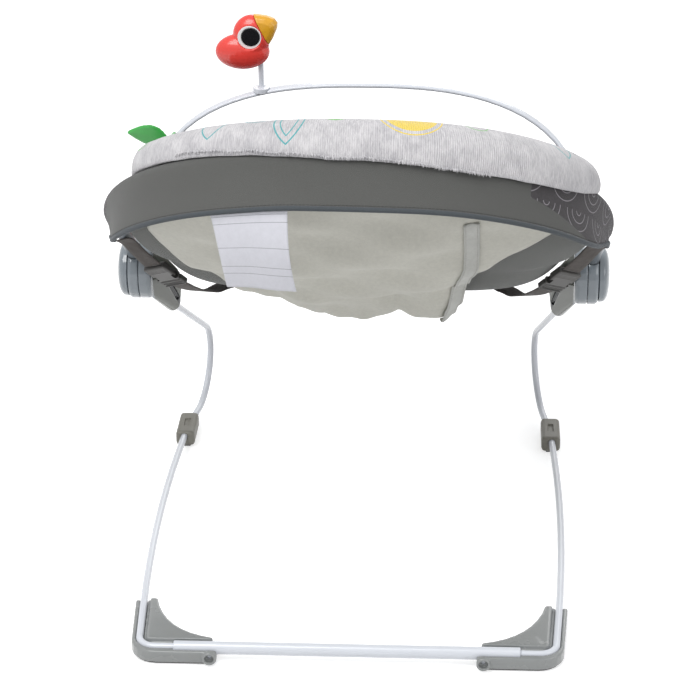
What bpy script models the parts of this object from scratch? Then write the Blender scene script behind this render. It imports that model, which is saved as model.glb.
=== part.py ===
"""A baby bouncer: a sprung wire base, two moulded hubs, a bent tube seat frame,
a padded sling seat and a toy bar with a spinning bird.

Metres, +Z up, floor at Z = 0. +Y runs from the head end to the foot end, X is across.
While a piece is made, Y is counted from the rear cross tube's axis. The whole object is
then moved so that Y = 0 lies at the middle of its length.
"""

import math

import bmesh
import bpy
from mathutils import Matrix, Vector
from mathutils.bvhtree import BVHTree

# Fits
CLEARANCE = 0.0003  # gap that touching pieces keep
RUNNING = 0.0004  # gap round a turning or sliding piece

# Base
WIRE_R = 0.0035  # solid spring steel rod
CROSS_R = 0.0060  # rear cross tube, outside
CROSS_HALF = 0.158  # half length of the cross tube
WIRE_INSERT = 0.045  # how far the rod reaches into the cross tube
WIRE_Z = 0.0125  # height of the rod's axis along the floor
CORNER_X = 0.190  # half distance between the rods at the rear corners
CORNER_BEND_R = 0.016
WAIST_X = 0.2045  # where the bowed floor rods' straight runs would meet
FRONT_X = 0.195  # half distance at the front feet
FRONT_Y = 0.452  # rear axis to front feet
FLOOR_ARCH = 0.005  # how far the rods' straight runs lift between the feet
FLOOR_BOW_R = 2.8
FRONT_BEND_R = 0.5
SPRING_REACH_Y = 0.545  # foremost point of the spring bends
SPRING_BEND_R = 0.048
SPRING_NARROW = 0.035  # how far the rods lean in ahead of the front feet
FLEX_SWING = math.radians(6)  # how far the seat swings down on the spring bends
FLEX_STUB = 0.0008  # straight run at each parted end of the rod

# Rear feet
PAD_T = 0.0017  # rubber pads
PAD_INSET = 0.0030
REAR_WALL = 0.0045
REAR_SIDE_REACH = 0.082  # along the floor rod
REAR_TOP_Z = 0.0138
GUSSET_TOP_Z = 0.0180
GUSSET_HOLLOW = 0.020  # how far the web's free edge is drawn to the corner
BOSS_X = 0.1245
BOSS_R = 0.0062
BOSS_OUT = 0.0022  # how far the screw boss stands out of the rear face
SCREW_HEAD_R = 0.0036
SCREW_HEAD_T = 0.0018
SCREW_SHANK_R = 0.0013

# Front feet
FRONT_FOOT_L = 0.050
FRONT_FOOT_W = 0.020
FRONT_FOOT_TOP_Z = 0.0190
FRONT_SLOT_L = 0.018
FRONT_SLOT_W = 0.006
FRONT_SLOT_DEPTH = 0.0018

# Hubs
HUB_Y = 0.355
HUB_Z = 0.238
HUB_R = 0.0300
HUB_INNER_T = 0.0130  # inner shell, from the parting plane
HUB_OUTER_T = 0.0110
DOME_R = 0.0278
DOME_T = 0.0112
FIN_END_R = 0.0085  # the inner shell's fin, round the rod
FIN_EDGE_R = 0.0030
FIN_EDGE = ((0.0065, 0.0160, 0.0090), (0.0088, 0.0235, 0.0210),
            (0.0060, 0.0310, 0.0340))  # in from the rod, ahead of the hub and below it
FIN_SLOT = ((0.0199, -0.0095, -0.0061), (0.0334, 0.0247, 0.0433))  # its ends: in from, ahead of and below the hub
FIN_SLOT_R = 0.0028
ROD_IN_FIN = 0.013
EXIT_X = 0.1975  # where the rod leaves the fin
EXIT_Y = 0.387
EXIT_Z = 0.1865

# Seat frame
RAIL_R = 0.0070
RAIL_WALL = 0.0012
BACK_START = math.radians(57)  # climb of the back tube as it leaves the hub
BACK_ANGLE = math.radians(36)  # and past its bend
BACK_BEND = 0.100  # length that the bend takes
FOOT_ANGLE = math.radians(12)
BACK_LENGTH = 0.346  # hub axis to the head end, along the tube's side view
FOOT_LENGTH = 0.228  # hub axis to the end of the foot tube
RAIL_HALF_W = 0.233  # widest half width, at the tube's axis
WIDEST_AT = 0.115  # how far behind the hub axis the frame is widest
HEAD_EXPONENT = 2.25  # superellipse power of the head end
FOOT_EXPONENT = 2.2
RAIL_IN_HUB = 0.0130  # tube ends start this far from the hub axis

# Fabric
FABRIC_T = 0.0022
SKIRT_HEAD = 0.046  # how deep the border hangs below the tube at the head end
SKIRT_FOOT = 0.024
SKIRT_START = 0.012
BORDER_START = 0.060  # the foot border stops this far from the hub axis
HEAD_BORDER_START = 0.088  # and the head border this far
FLAP_W = 0.012  # the border's inner edge, inwards from the tube
HEM_R = 0.0028
FOLD_REACH = 0.060  # how widely the sling rounds the fold between back and foot
SAG_DEPTH = 0.034  # how deep the sling sags below the frame
BOTTOM_EXTRA = 0.002  # further sag where the child sits
BOTTOM_AT = -0.060
SAG_EXPONENT = 7.0
PAD_THICK = 0.018
PAD_EDGE_T = 0.0050
HUB_INSET = 0.027  # the sling's edge keeps this far from the tube's axis beside the hubs
ROLL_W = 0.046  # padded head roll, inwards from the tube
ROLL_H = 0.033
ROLL_FROM = 0.165  # the roll's ends, behind the hub axis
ROLL_END_L = 0.040  # the length over which each end rounds off
LINING_T = 0.0016
LINING_DROP = 0.021  # how far the lining billows below the pad
LINING_FOLD = 0.0040

# Sewn-in tag
TAG_W = 0.072
TAG_L = 0.072
TAG_T = 0.0008
TAG_CURL = 8.0  # how far the free end swings back, in half thicknesses
TAG_X = -0.078

# Straps, 20 mm webbing
WEB_W = 0.020
WEB_T = 0.0014
BUCKLE_W = 0.0265
BUCKLE_T = 0.0080
SOCKET_L = 0.026
PLUG_L = 0.012
PRONG_L = 0.016
PRONG_W = 0.0050
PRONG_T = 0.0030
STRAP_TOP_Q = 0.082
STRAP_IN = 0.105  # the strap's low seam, inwards from the frame's widest place
STRAP_LOW_Q = -0.052
STRAP_UPPER = 0.046  # webbing above the buckle
STRAP_SAG = 0.0105  # how far the strap's middle hangs below the lining
LAID_GAP = 0.0003  # what webbing keeps from the cloth it lies on

# Harness
CROTCH_W = 0.046
CROTCH_T = 0.006
CROTCH_Q = -0.050  # where the crotch flap leaves the pad
BUCKLE_RISE = 0.022  # harness buckle above the pad
BELT_SHARE = 0.78  # how far out the belts are sewn in

# Toy bar
CLIP_FROM_HUB = 0.046  # clip centre along the foot tube
CLIP_L = 0.020
CLIP_WALL = 0.0030
PIVOT_RISE = 0.024  # pivot above the foot tube's axis
PIVOT_R = 0.0025
EAR_T = 0.0040
KNUCKLE_T = 0.0050
BAR_W = 0.015  # the bar, front to back
BAR_T = 0.0060
BAR_TOP_Z = 0.412
BAR_TOP_Y = 0.420
BAR_EXPONENT = 2.6
SOCKET_DEPTH = 0.014  # how far each coral end reaches up the bar
LEAF_L = 0.046
LEAF_W = 0.026
LEAF_T = 0.0040
LEAF_DROP = 0.046  # leaf centre below the bar's top

# Bird
BIRD_X = -0.104
BIRD_BACK = 0.0179  # the body's middle, behind the post
BIRD_BODY_L = 0.0544
BIRD_BODY_H = 0.0364
BIRD_HEAD_W = 0.0396
BIRD_HEAD_H = 0.0410
BIRD_NECK_FORWARD = 0.0104  # the head's middle, ahead of the body's
BIRD_NECK_RISE = 0.0172  # and above it
BIRD_T = 0.028
BIRD_EYE_R = 0.0118
BIRD_PUPIL_R = 0.0093
BIRD_EYE_T = 0.0012
BEAK_OUTLINE = ((0.0012, 0.0214), (0.0138, 0.0200), (0.0221, 0.0170), (0.0252, 0.0125),
                (0.0249, 0.0074), (0.0207, -0.0028), (0.0165, -0.0098))  # X and Z from the head's middle
BEAK_T = 0.019
BIRD_POST_R = 0.0028
BIRD_POST_H = 0.022
FLANGE_R = 0.0085
FLANGE_H = 0.003
PIN_IN_BIRD = 0.015

# Counts
WIRE_SIDES = 10
RAIL_SIDES = 12
HALF_STATIONS = 24
PAD_SHARES = (0.24, 0.46, 0.64, 0.78, 0.88, 0.95, 1.0)
LINING_ROWS = 5

ORIGIN = Vector((0, 0, 0))
ACROSS = Vector((1, 0, 0))


# Materials

def finish(name, colour, roughness, metallic=0.0):
    """One Principled BSDF material."""
    made = bpy.data.materials.new(name)
    made.use_nodes = True
    shader = made.node_tree.nodes["Principled BSDF"]
    shader.inputs["Base Color"].default_value = (*colour, 1.0)
    shader.inputs["Roughness"].default_value = roughness
    shader.inputs["Metallic"].default_value = metallic
    made.diffuse_color = (*colour, 1.0)
    return made


# Mesh tools

def object_from(name, points, faces):
    """A mesh object whose faces all point out."""
    mesh = bpy.data.meshes.new(name)
    mesh.from_pydata([tuple(p) for p in points], [], faces)
    shape = bmesh.new()
    shape.from_mesh(mesh)
    bmesh.ops.remove_doubles(shape, verts=shape.verts, dist=1e-6)
    bmesh.ops.recalc_face_normals(shape, faces=shape.faces)
    shape.to_mesh(mesh)
    shape.free()
    made = bpy.data.objects.new(name, mesh)
    bpy.context.scene.collection.objects.link(made)
    return made


def loft(name, rings):
    """A solid through rings of equal count, with flat ends."""
    count = len(rings[0])
    points = [p for ring in rings for p in ring]
    faces = [tuple(reversed(range(count))), tuple((len(rings) - 1) * count + k for k in range(count))]
    for i in range(len(rings) - 1):
        here, there = i * count, (i + 1) * count
        for k in range(count):
            n = (k + 1) % count
            faces.append((here + k, here + n, there + n, there + k))
    return object_from(name, points, faces)


def circle_rings(route, radius, sides):
    """Rings of a round section along a route, carried along without twist."""
    first = (route[1] - route[0]).normalized()
    side = first.cross(Vector((0, 0, 1)) if abs(first.z) < 0.9 else Vector((0, 1, 0))).normalized()
    rings = []
    for i, place in enumerate(route):
        along = (route[min(i + 1, len(route) - 1)] - route[max(i - 1, 0)]).normalized()
        side = (side - along * side.dot(along)).normalized()
        rise = along.cross(side)
        turns = [math.tau * k / sides for k in range(sides)]
        rings.append([place + side * (radius * math.cos(a)) + rise * (radius * math.sin(a)) for a in turns])
    return rings


def rod(name, route, radius, sides=WIRE_SIDES):
    return loft(name, circle_rings(route, radius, sides))


def pipe(name, route, radius, bore, sides):
    """An open-ended tube along a route."""
    outer, inner = circle_rings(route, radius, sides), circle_rings(route, bore, sides)
    points = [p for ring in outer + inner for p in ring]
    last, offset = len(route) - 1, len(route) * sides
    faces = []
    for k in range(sides):
        n = (k + 1) % sides
        faces.append((k, n, offset + n, offset + k))
        end = last * sides
        faces.append((end + n, end + k, offset + end + k, offset + end + n))
        for i in range(last):
            here, there = i * sides, (i + 1) * sides
            faces.append((here + n, here + k, there + k, there + n))
            faces.append((offset + here + k, offset + here + n, offset + there + n, offset + there + k))
    return object_from(name, points, faces)


def turned(name, profile, centre, sides=32):
    """A solid of revolution about X through centre. profile is (reach along X, radius)."""
    rings = []
    for reach, radius in profile:
        turns = [math.tau * k / sides for k in range(sides)]
        rings.append([centre + Vector((reach, radius * math.cos(a), radius * math.sin(a))) for a in turns])
    return loft(name, rings)


def wrapped(name, points):
    """The smallest solid without hollows that holds all the points."""
    shape = bmesh.new()
    for p in points:
        shape.verts.new(p)
    bmesh.ops.convex_hull(shape, input=shape.verts)
    bmesh.ops.delete(shape, geom=[v for v in shape.verts if not v.link_faces], context="VERTS")
    mesh = bpy.data.meshes.new(name)
    shape.to_mesh(mesh)
    shape.free()
    corners = [v.co.copy() for v in mesh.vertices]
    return object_from(name, corners, [tuple(face.vertices) for face in mesh.polygons])


def prism(name, outline, low, high):
    """An outline in plan, extruded from low to high."""
    return loft(name, [[Vector((x, y, z)) for x, y in outline] for z in (low, high)])


def block(name, low, high):
    """A box between two corners."""
    outline = [(low[0], low[1]), (high[0], low[1]), (high[0], high[1]), (low[0], high[1])]
    return prism(name, outline, low[2], high[2])


def peg(name, start, end, radius, sides=16):
    """A round pin between two points."""
    return rod(name, [Vector(start), Vector(end)], radius, sides)


def slab(name, centre, along, up, size):
    """A box at any tilt: size is its length along, its width across and its height."""
    across = along.cross(up).normalized()
    rings = []
    for end in (-0.5, 0.5):
        middle = centre + along * (size[0] * end)
        corners = ((-0.5, -0.5), (0.5, -0.5), (0.5, 0.5), (-0.5, 0.5))
        rings.append([middle + across * (size[1] * a) + up * (size[2] * b) for a, b in corners])
    return loft(name, rings)


def band(name, route, facing, width, thick):
    """Flat webbing along a route. facing is the direction its face looks at, for each point."""
    rings = []
    for i, place in enumerate(route):
        along = (route[min(i + 1, len(route) - 1)] - route[max(i - 1, 0)]).normalized()
        side = along.cross(facing[i]).normalized() * (width / 2)
        up = along.cross(side).normalized() * (thick / 2)
        rings.append([place - side - up, place + side - up, place + side + up, place - side + up])
    return loft(name, rings)


def evaluated(target):
    """Replaces an object's mesh with what its modifiers make."""
    graph = bpy.context.evaluated_depsgraph_get()
    mesh = bpy.data.meshes.new_from_object(target.evaluated_get(graph))
    target.modifiers.clear()
    target.data = mesh
    return target


def combine(target, tool, operation):
    modifier = target.modifiers.new(operation, "BOOLEAN")
    modifier.operation = operation
    modifier.solver = "EXACT"
    modifier.object = tool
    evaluated(target)
    bpy.data.objects.remove(tool)
    return target


def cut(target, *tools):
    for tool in tools:
        combine(target, tool, "DIFFERENCE")
    return target


def fuse(target, *tools):
    for tool in tools:
        combine(target, tool, "UNION")
    return target


def soften(target, width, segments=2):
    """Rounds the sharp edges."""
    modifier = target.modifiers.new("edges", "BEVEL")
    modifier.width = width
    modifier.segments = segments
    modifier.limit_method = "ANGLE"
    modifier.angle_limit = math.radians(35)
    return evaluated(target)


def between(a, b, t):
    return a + (b - a) * t


def eased(t):
    t = min(max(t, 0.0), 1.0)
    return t * t * (3 - 2 * t)


def bump(x, middle, spread):
    """A smooth hill, 1 at its middle."""
    return math.exp(-((x - middle) / spread) ** 2)


def filleted(corners, radii, turn_step):
    """A route along straight runs whose corners are arcs of the given radii."""
    route = [corners[0]]
    for before, corner, after, radius in zip(corners, corners[1:], corners[2:], radii):
        back = (before - corner).normalized()
        ahead = (after - corner).normalized()
        turn = math.pi - back.angle(ahead)
        reach = radius * math.tan(turn / 2)
        start, end = corner + back * reach, corner + ahead * reach
        centre = corner + (back + ahead).normalized() * (radius / math.cos(turn / 2))
        axis = (start - centre).cross(end - centre).normalized()
        steps = max(2, math.ceil(turn / turn_step))
        for i in range(steps + 1):
            route.append(centre + Matrix.Rotation(turn * i / steps, 3, axis) @ (start - centre))
    route.append(corners[-1])
    return route


def evenly(route, steps):
    """The same route with its points at equal distances."""
    marks = [0.0]
    for a, b in zip(route, route[1:]):
        marks.append(marks[-1] + (b - a).length)
    found, k = [], 0
    for i in range(steps + 1):
        wanted = marks[-1] * i / steps
        while k < len(marks) - 2 and marks[k + 1] < wanted:
            k += 1
        span = marks[k + 1] - marks[k]
        found.append(between(route[k], route[k + 1], (wanted - marks[k]) / span if span else 0.0))
    return found


# The two sides are twins

def twin(target, side):
    """The piece itself for +X, or turned over to its -X twin."""
    if side < 0:
        target.data.transform(Matrix.Scale(-1, 4, ACROSS))
        target.data.flip_normals()
    return target


# The seat frame's side view. q runs along it: 0 at the hub axis, positive to the head end.

def climb(q):
    """The frame's slope at q."""
    if q < 0:
        return -FOOT_ANGLE
    return between(BACK_START, BACK_ANGLE, eased(q / BACK_BEND))


def side_view(q):
    """The frame's (Y, Z) at q, by adding up its slope."""
    if q < 0:
        return HUB_Y - q * math.cos(FOOT_ANGLE), HUB_Z - q * math.sin(FOOT_ANGLE)
    bend = min(q, BACK_BEND)
    steps = 40
    slopes = [climb(bend * (i + 0.5) / steps) for i in range(steps)]
    y = HUB_Y - sum(math.cos(a) for a in slopes) * bend / steps - math.cos(BACK_ANGLE) * (q - bend)
    z = HUB_Z + sum(math.sin(a) for a in slopes) * bend / steps + math.sin(BACK_ANGLE) * (q - bend)
    return y, z


def heading(q):
    """Towards the head end at q."""
    return Vector((0, -math.cos(climb(q)), math.sin(climb(q))))


def upright(q):
    """Square to the frame at q, upwards."""
    return Vector((0, math.sin(climb(q)), math.cos(climb(q))))


def on_frame(x, q, rise=0.0):
    """A point of the tubes' surface at x and q, or off it."""
    y, z = side_view(q)
    return Vector((x, y, z)) + upright(q) * rise


def sling_frame(q):
    """Place and upward direction of the sling at q: the frame's, but rounded over the fold."""
    if abs(q) >= FOLD_REACH:
        return on_frame(0, q), upright(q)
    start, end = on_frame(0, -FOLD_REACH), on_frame(0, FOLD_REACH)
    ahead, back = heading(-FOLD_REACH), heading(FOLD_REACH)
    span = end - start
    reach = (span.y * back.z - span.z * back.y) / (ahead.y * back.z - ahead.z * back.y)
    corner = start + ahead * reach
    t = (q + FOLD_REACH) / (2 * FOLD_REACH)
    place = start * (1 - t) ** 2 + corner * (2 * t * (1 - t)) + end * t ** 2
    along = ((corner - start) * (1 - t) + (end - corner) * t).normalized()
    return place, Vector((0, along.z, -along.y))


def sling_point(x, q, rise):
    place, up = sling_frame(q)
    return Vector((x, 0, 0)) + place + up * rise


# The seat frame in plan

HEAD_REACH = BACK_LENGTH - WIDEST_AT
FOOT_REACH = FOOT_LENGTH + WIDEST_AT


def loop_point(turn):
    """(x, q) on the frame's loop. turn 0 is the +X side and a quarter turn is the head end."""
    c, s = math.cos(turn), math.sin(turn)
    power, reach = (HEAD_EXPONENT, HEAD_REACH) if s >= 0 else (FOOT_EXPONENT, FOOT_REACH)
    x = RAIL_HALF_W * math.copysign(abs(c) ** (2 / power), c)
    return Vector((x, WIDEST_AT + reach * math.copysign(abs(s) ** (2 / power), s)))


def half_width(q):
    """The loop's half width at q."""
    power, reach = (HEAD_EXPONENT, HEAD_REACH) if q >= WIDEST_AT else (FOOT_EXPONENT, FOOT_REACH)
    share = min(abs(q - WIDEST_AT) / reach, 1.0)
    return RAIL_HALF_W * (1 - share ** power) ** (1 / power)


def loop_stations():
    """Equal steps round the loop from the foot end: (x, q) and the outward direction there."""
    half = evenly([loop_point(math.pi * (i / 600 - 0.5)) for i in range(601)], HALF_STATIONS)
    half[0].x = half[-1].x = 0.0
    places = half + [Vector((-p.x, p.y)) for p in reversed(half[1:-1])]
    found = []
    for i, place in enumerate(places):
        along = (places[(i + 1) % len(places)] - places[i - 1]).normalized()
        found.append((place, Vector((along.y, -along.x))))
    return found


STATIONS = loop_stations()
HUB = Vector((half_width(0.0), HUB_Y, HUB_Z))
HEAD = STATIONS[HALF_STATIONS][0]


def rail_route(sign):
    """The tube's axis from the +X hub round to the -X hub. sign is 1 for the back tube."""
    step = (STATIONS[1][0] - STATIONS[0][0]).length
    right = [p for p, _ in STATIONS if p.x > -1e-6 and sign * p.y > RAIL_IN_HUB + step / 2]
    right.sort(key=lambda p: sign * p.y)
    half = [Vector((half_width(sign * RAIL_IN_HUB), sign * RAIL_IN_HUB)), *right]
    return [on_frame(p.x, p.y) for p in half + [Vector((-p.x, p.y)) for p in reversed(half[:-1])]]


# The base rods

def rod_route():
    """The right-hand rod from inside the cross tube to inside the hub."""
    exit_point = Vector((EXIT_X, EXIT_Y, EXIT_Z))
    centre_y, centre_z = SPRING_REACH_Y - SPRING_BEND_R, WIRE_Z + SPRING_BEND_R
    away_y, away_z = centre_y - exit_point.y, exit_point.z - centre_z
    rise = math.atan2(away_z, away_y) - math.asin(SPRING_BEND_R / math.hypot(away_y, away_z))
    apex_y = exit_point.y + (exit_point.z - WIRE_Z) / math.tan(rise)
    lean = SPRING_NARROW * (apex_y - FRONT_Y) / (SPRING_REACH_Y - FRONT_Y) / 2.4
    apex = Vector((FRONT_X - lean, apex_y, WIRE_Z))
    corners = [
        Vector((CROSS_HALF - WIRE_INSERT, 0, WIRE_Z)),
        Vector((CORNER_X, 0, WIRE_Z)),
        Vector((WAIST_X, FRONT_Y / 2, WIRE_Z + FLOOR_ARCH)),
        Vector((FRONT_X, FRONT_Y, WIRE_Z)),
        apex,
        exit_point + (exit_point - apex).normalized() * ROD_IN_FIN,
    ]
    return filleted(corners, [CORNER_BEND_R, FLOOR_BOW_R, FRONT_BEND_R, SPRING_BEND_R], math.radians(9))


ROD = rod_route()
FLEX = max(range(len(ROD)), key=lambda i: ROD[i].y)
FLEX_HEADING = (ROD[FLEX + 1] - ROD[FLEX - 1]).normalized()
FLEX_HALF = (CLEARANCE + WIRE_R * math.sin(FLEX_SWING)) / 2  # half the gap, which closes to CLEARANCE at full swing
FLOOR_ROD = ROD[:FLEX] + [ROD[FLEX] - FLEX_HEADING * reach for reach in (FLEX_HALF + FLEX_STUB, FLEX_HALF)]
SPRING_ROD = [ROD[FLEX] + FLEX_HEADING * reach for reach in (FLEX_HALF, FLEX_HALF + FLEX_STUB)] + ROD[FLEX + 1:]


def rod_x_at(y):
    """Where the floor rod lies across, y ahead of the rear axis."""
    for a, b in zip(ROD, ROD[1:]):
        if a.y <= y <= b.y and b.y > a.y:
            return between(a.x, b.x, (y - a.y) / (b.y - a.y))
    return CORNER_X


# Rear feet

CHANNEL_R = WIRE_R + RUNNING
FOOT_HALF = CHANNEL_R + REAR_WALL
REAR_FACE_Y = -(CROSS_R + CLEARANCE + REAR_WALL)
LEG_END_X = BOSS_X - BOSS_R
FOOT_LOW_Z = PAD_T + CLEARANCE
BOSS_Z = FOOT_LOW_Z + BOSS_R


def rear_outline(inset):
    """The rear foot's L in plan, with its outer corner rounded."""
    half, far, near = FOOT_HALF - inset, REAR_SIDE_REACH - inset, REAR_FACE_Y + inset
    corner_r = CORNER_BEND_R + half
    outline = [(LEG_END_X + inset, near)]
    for i in range(7):
        a = math.radians(-90 + 15 * i)
        outline.append((CORNER_X + half - corner_r * (1 - math.cos(a)), near + corner_r * (1 + math.sin(a))))
    x = rod_x_at(far)
    return outline + [(x + half, far), (x - half, far), (CORNER_X - half, -near), (LEG_END_X + inset, -near)]


def gusset_outline():
    """The web in the rear foot's inner corner, with a hollow free edge."""
    half = CHANNEL_R + REAR_WALL / 2
    far = REAR_SIDE_REACH - PAD_INSET
    start = Vector((LEG_END_X + REAR_WALL, -REAR_FACE_Y - REAR_WALL / 4))
    end = Vector((rod_x_at(far) - FOOT_HALF - REAR_WALL, far))
    pull = Vector((CORNER_X - GUSSET_HOLLOW, -REAR_FACE_Y + GUSSET_HOLLOW / 2))
    free_edge = [start * (1 - t) ** 2 + pull * (2 * t * (1 - t)) + end * t ** 2 for t in (i / 8 for i in range(9))]
    inner = [(start.x, CROSS_R), (CORNER_X - half, CROSS_R), (rod_x_at(far) - half, far)]
    return inner + [(p.x, p.y) for p in reversed(free_edge)]


def rear_foot(side):
    """A moulded corner with an open channel for the rod and a cradle for the cross tube."""
    body = soften(prism("rear_foot", rear_outline(0.0), FOOT_LOW_Z, REAR_TOP_Z), 0.0014)
    web = soften(prism("web", gusset_outline(), FOOT_LOW_Z, GUSSET_TOP_Z), 0.0014)
    boss_face = REAR_FACE_Y - BOSS_OUT
    boss = peg("boss", (BOSS_X, boss_face, BOSS_Z), (BOSS_X, -CROSS_R, BOSS_Z), BOSS_R, 20)
    fuse(body, web, boss)
    floor_run = ROD[:FLEX - 4]
    above = GUSSET_TOP_Z + CROSS_R
    slot = [Vector((p.x, p.y, 0)) for p in floor_run]
    rings = []
    for i, p in enumerate(slot):
        along = (slot[min(i + 1, len(slot) - 1)] - slot[max(i - 1, 0)]).normalized()
        out = Vector((along.y, -along.x, 0)) * CHANNEL_R
        low, high = Vector((0, 0, WIRE_Z)), Vector((0, 0, above))
        rings.append([p - out + low, p + out + low, p + out + high, p - out + high])
    room = CROSS_HALF + CLEARANCE
    tube_room = peg("tube_room", (0, 0, WIRE_Z), (room, 0, WIRE_Z), CROSS_R + RUNNING, 20)
    tube_lid = block("tube_lid", (0, -CROSS_R - RUNNING, WIRE_Z), (room, CROSS_R + RUNNING, above))
    sunk = boss_face + SCREW_HEAD_T + BOSS_OUT / 2
    recess = peg("recess", (BOSS_X, boss_face - BOSS_OUT, BOSS_Z), (BOSS_X, sunk, BOSS_Z), SCREW_HEAD_R + RUNNING, 20)
    shank = peg("shank", (BOSS_X, boss_face, BOSS_Z), (BOSS_X, 0, BOSS_Z), SCREW_SHANK_R + RUNNING, 12)
    cut(body, rod("channel", floor_run, CHANNEL_R, 14), loft("slot", rings), tube_room, tube_lid, recess, shank)
    return twin(body, side)


def rear_pad(side):
    return twin(prism("rear_pad", rear_outline(PAD_INSET), 0.0, PAD_T), side)


def rear_screw(side):
    seat = REAR_FACE_Y - BOSS_OUT / 2 - CLEARANCE
    head = peg("screw", (BOSS_X, seat, BOSS_Z), (BOSS_X, seat + SCREW_HEAD_T, BOSS_Z), SCREW_HEAD_R, 20)
    shank_end = -CROSS_R - RUNNING - CLEARANCE
    shank = peg("shank", (BOSS_X, seat + SCREW_HEAD_T / 2, BOSS_Z), (BOSS_X, shank_end, BOSS_Z), SCREW_SHANK_R, 10)
    return twin(fuse(head, shank), side)


# Front feet

def front_foot(side):
    half_l, half_w = FRONT_FOOT_L / 2, FRONT_FOOT_W / 2
    low = (FRONT_X - half_w, FRONT_Y - half_l, FOOT_LOW_Z)
    body = block("front_foot", low, (FRONT_X + half_w, FRONT_Y + half_l, FRONT_FOOT_TOP_Z))
    soften(body, FRONT_FOOT_W / 5, 3)
    slot = block(
        "slot",
        (FRONT_X - FRONT_SLOT_W / 2, FRONT_Y - FRONT_SLOT_L / 2, FRONT_FOOT_TOP_Z - FRONT_SLOT_DEPTH),
        (FRONT_X + FRONT_SLOT_W / 2, FRONT_Y + FRONT_SLOT_L / 2, FRONT_FOOT_TOP_Z + FRONT_SLOT_DEPTH),
    )
    return twin(cut(body, slot, rod("bore", FLOOR_ROD, WIRE_R + CLEARANCE, 12)), side)


def front_pad(side):
    half_l, half_w = FRONT_FOOT_L / 2 - FRONT_FOOT_W / 4, FRONT_FOOT_W / 4
    low = (FRONT_X - half_w, FRONT_Y - half_l, 0.0)
    return twin(block("front_pad", low, (FRONT_X + half_w, FRONT_Y + half_l, PAD_T)), side)


# Hubs

def circle(centre, axis, radius, count):
    """Points round centre, square to axis."""
    first = axis.orthogonal().normalized()
    second = axis.normalized().cross(first)
    turns = [math.tau * k / count for k in range(count)]
    return [centre + (first * math.cos(a) + second * math.sin(a)) * radius for a in turns]


def fin():
    """The broad fin that carries the load from the disc down to the rod."""
    exit_point = Vector((EXIT_X, EXIT_Y, EXIT_Z))
    edge = [Vector((EXIT_X - inward, HUB_Y + ahead, HUB_Z - below)) for inward, ahead, below in FIN_EDGE]
    points = circle(HUB - ACROSS * HUB_INNER_T * 0.7, ACROSS, HUB_R * 0.93, 28)
    points += circle(exit_point, ROD[-1] - ROD[-2], FIN_END_R, 16)
    for place in edge:
        points += circle(place, edge[-1] - edge[0], FIN_EDGE_R, 8)
    return wrapped("fin", points)


def hub_cutters():
    """The room that the two tube ends and the rod take in a hub."""
    tools = []
    for sign in (1, -1):
        ends = rail_route(sign)[:3]
        inward = (ends[0] - ends[1]).normalized() * CLEARANCE
        tools.append(rod("tube_room", [ends[0] + inward, *ends[1:]], RAIL_R + RUNNING, 16))
    beyond = (ROD[-1] - ROD[-2]).normalized() * CLEARANCE
    tools.append(rod("rod_room", [ROD[-1] + beyond, ROD[-2]], WIRE_R + RUNNING, 12))
    return tools


HUB_SCREW = HUB + Vector((-HUB_INNER_T, HUB_R * 0.35, HUB_R * 0.5))


def hub_inner(side):
    near, far = CLEARANCE / 2, HUB_INNER_T
    profile = [(-near, HUB_R), (-far * 0.7, HUB_R), (-far * 0.93, HUB_R * 0.95), (-far, HUB_R * 0.86)]
    body = fuse(turned("hub_inner", profile, HUB), fin())
    edge = HUB_R * 3
    low, high = HUB + Vector((-near, -edge, -edge)), HUB + Vector((edge, edge, edge))
    sunk = HUB_SCREW + Vector((SCREW_HEAD_T + CLEARANCE * 2, 0, 0))
    recess = peg("recess", HUB_SCREW - Vector((HUB_R, 0, 0)), sunk, SCREW_HEAD_R + RUNNING)
    slot_ends = [HUB + Vector((-inward, ahead, -below)) for inward, ahead, below in FIN_SLOT]
    slot = peg("slot", *slot_ends, FIN_SLOT_R, 12)
    return twin(cut(body, block("beyond", low, high), recess, slot, *hub_cutters()), side)


def hub_screw(side):
    start = HUB_SCREW + Vector((CLEARANCE, 0, 0))
    return twin(peg("hub_screw", start, start + Vector((SCREW_HEAD_T, 0, 0)), SCREW_HEAD_R), side)


def hub_outer(side):
    near, far = CLEARANCE / 2, HUB_OUTER_T
    profile = [(near, HUB_R), (far * 0.72, HUB_R), (far * 0.93, HUB_R * 0.96), (far, HUB_R * 0.9)]
    return twin(cut(turned("hub_outer", profile, HUB), *hub_cutters()), side)


def hub_cap(side):
    start = HUB_OUTER_T + CLEARANCE
    profile = [(start, DOME_R * 0.99), (start + DOME_T * 0.3, DOME_R)]
    for i in range(1, 7):
        a = math.radians(15 * i)
        radius = DOME_R * max(math.cos(a), 0.02) ** 0.6
        profile.append((start + DOME_T * (0.3 + 0.7 * math.sin(a)), radius))
    return twin(turned("hub_cap", profile, HUB), side)


# Borders

SLEEVE_IN = RAIL_R + CLEARANCE * 2
SLEEVE_OUT = SLEEVE_IN + FABRIC_T
SKIRT_LEAN_RATIO = 0.06


def skirt_depth(q):
    """How far the border hangs below the tube at q."""
    if q >= 0:
        return between(SKIRT_START, SKIRT_HEAD, eased((q - HEAD_BORDER_START) / (HEAD_REACH * 0.7)))
    return between(SKIRT_START, SKIRT_FOOT, eased((-q - BORDER_START) / (FOOT_LENGTH - BORDER_START)))


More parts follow.
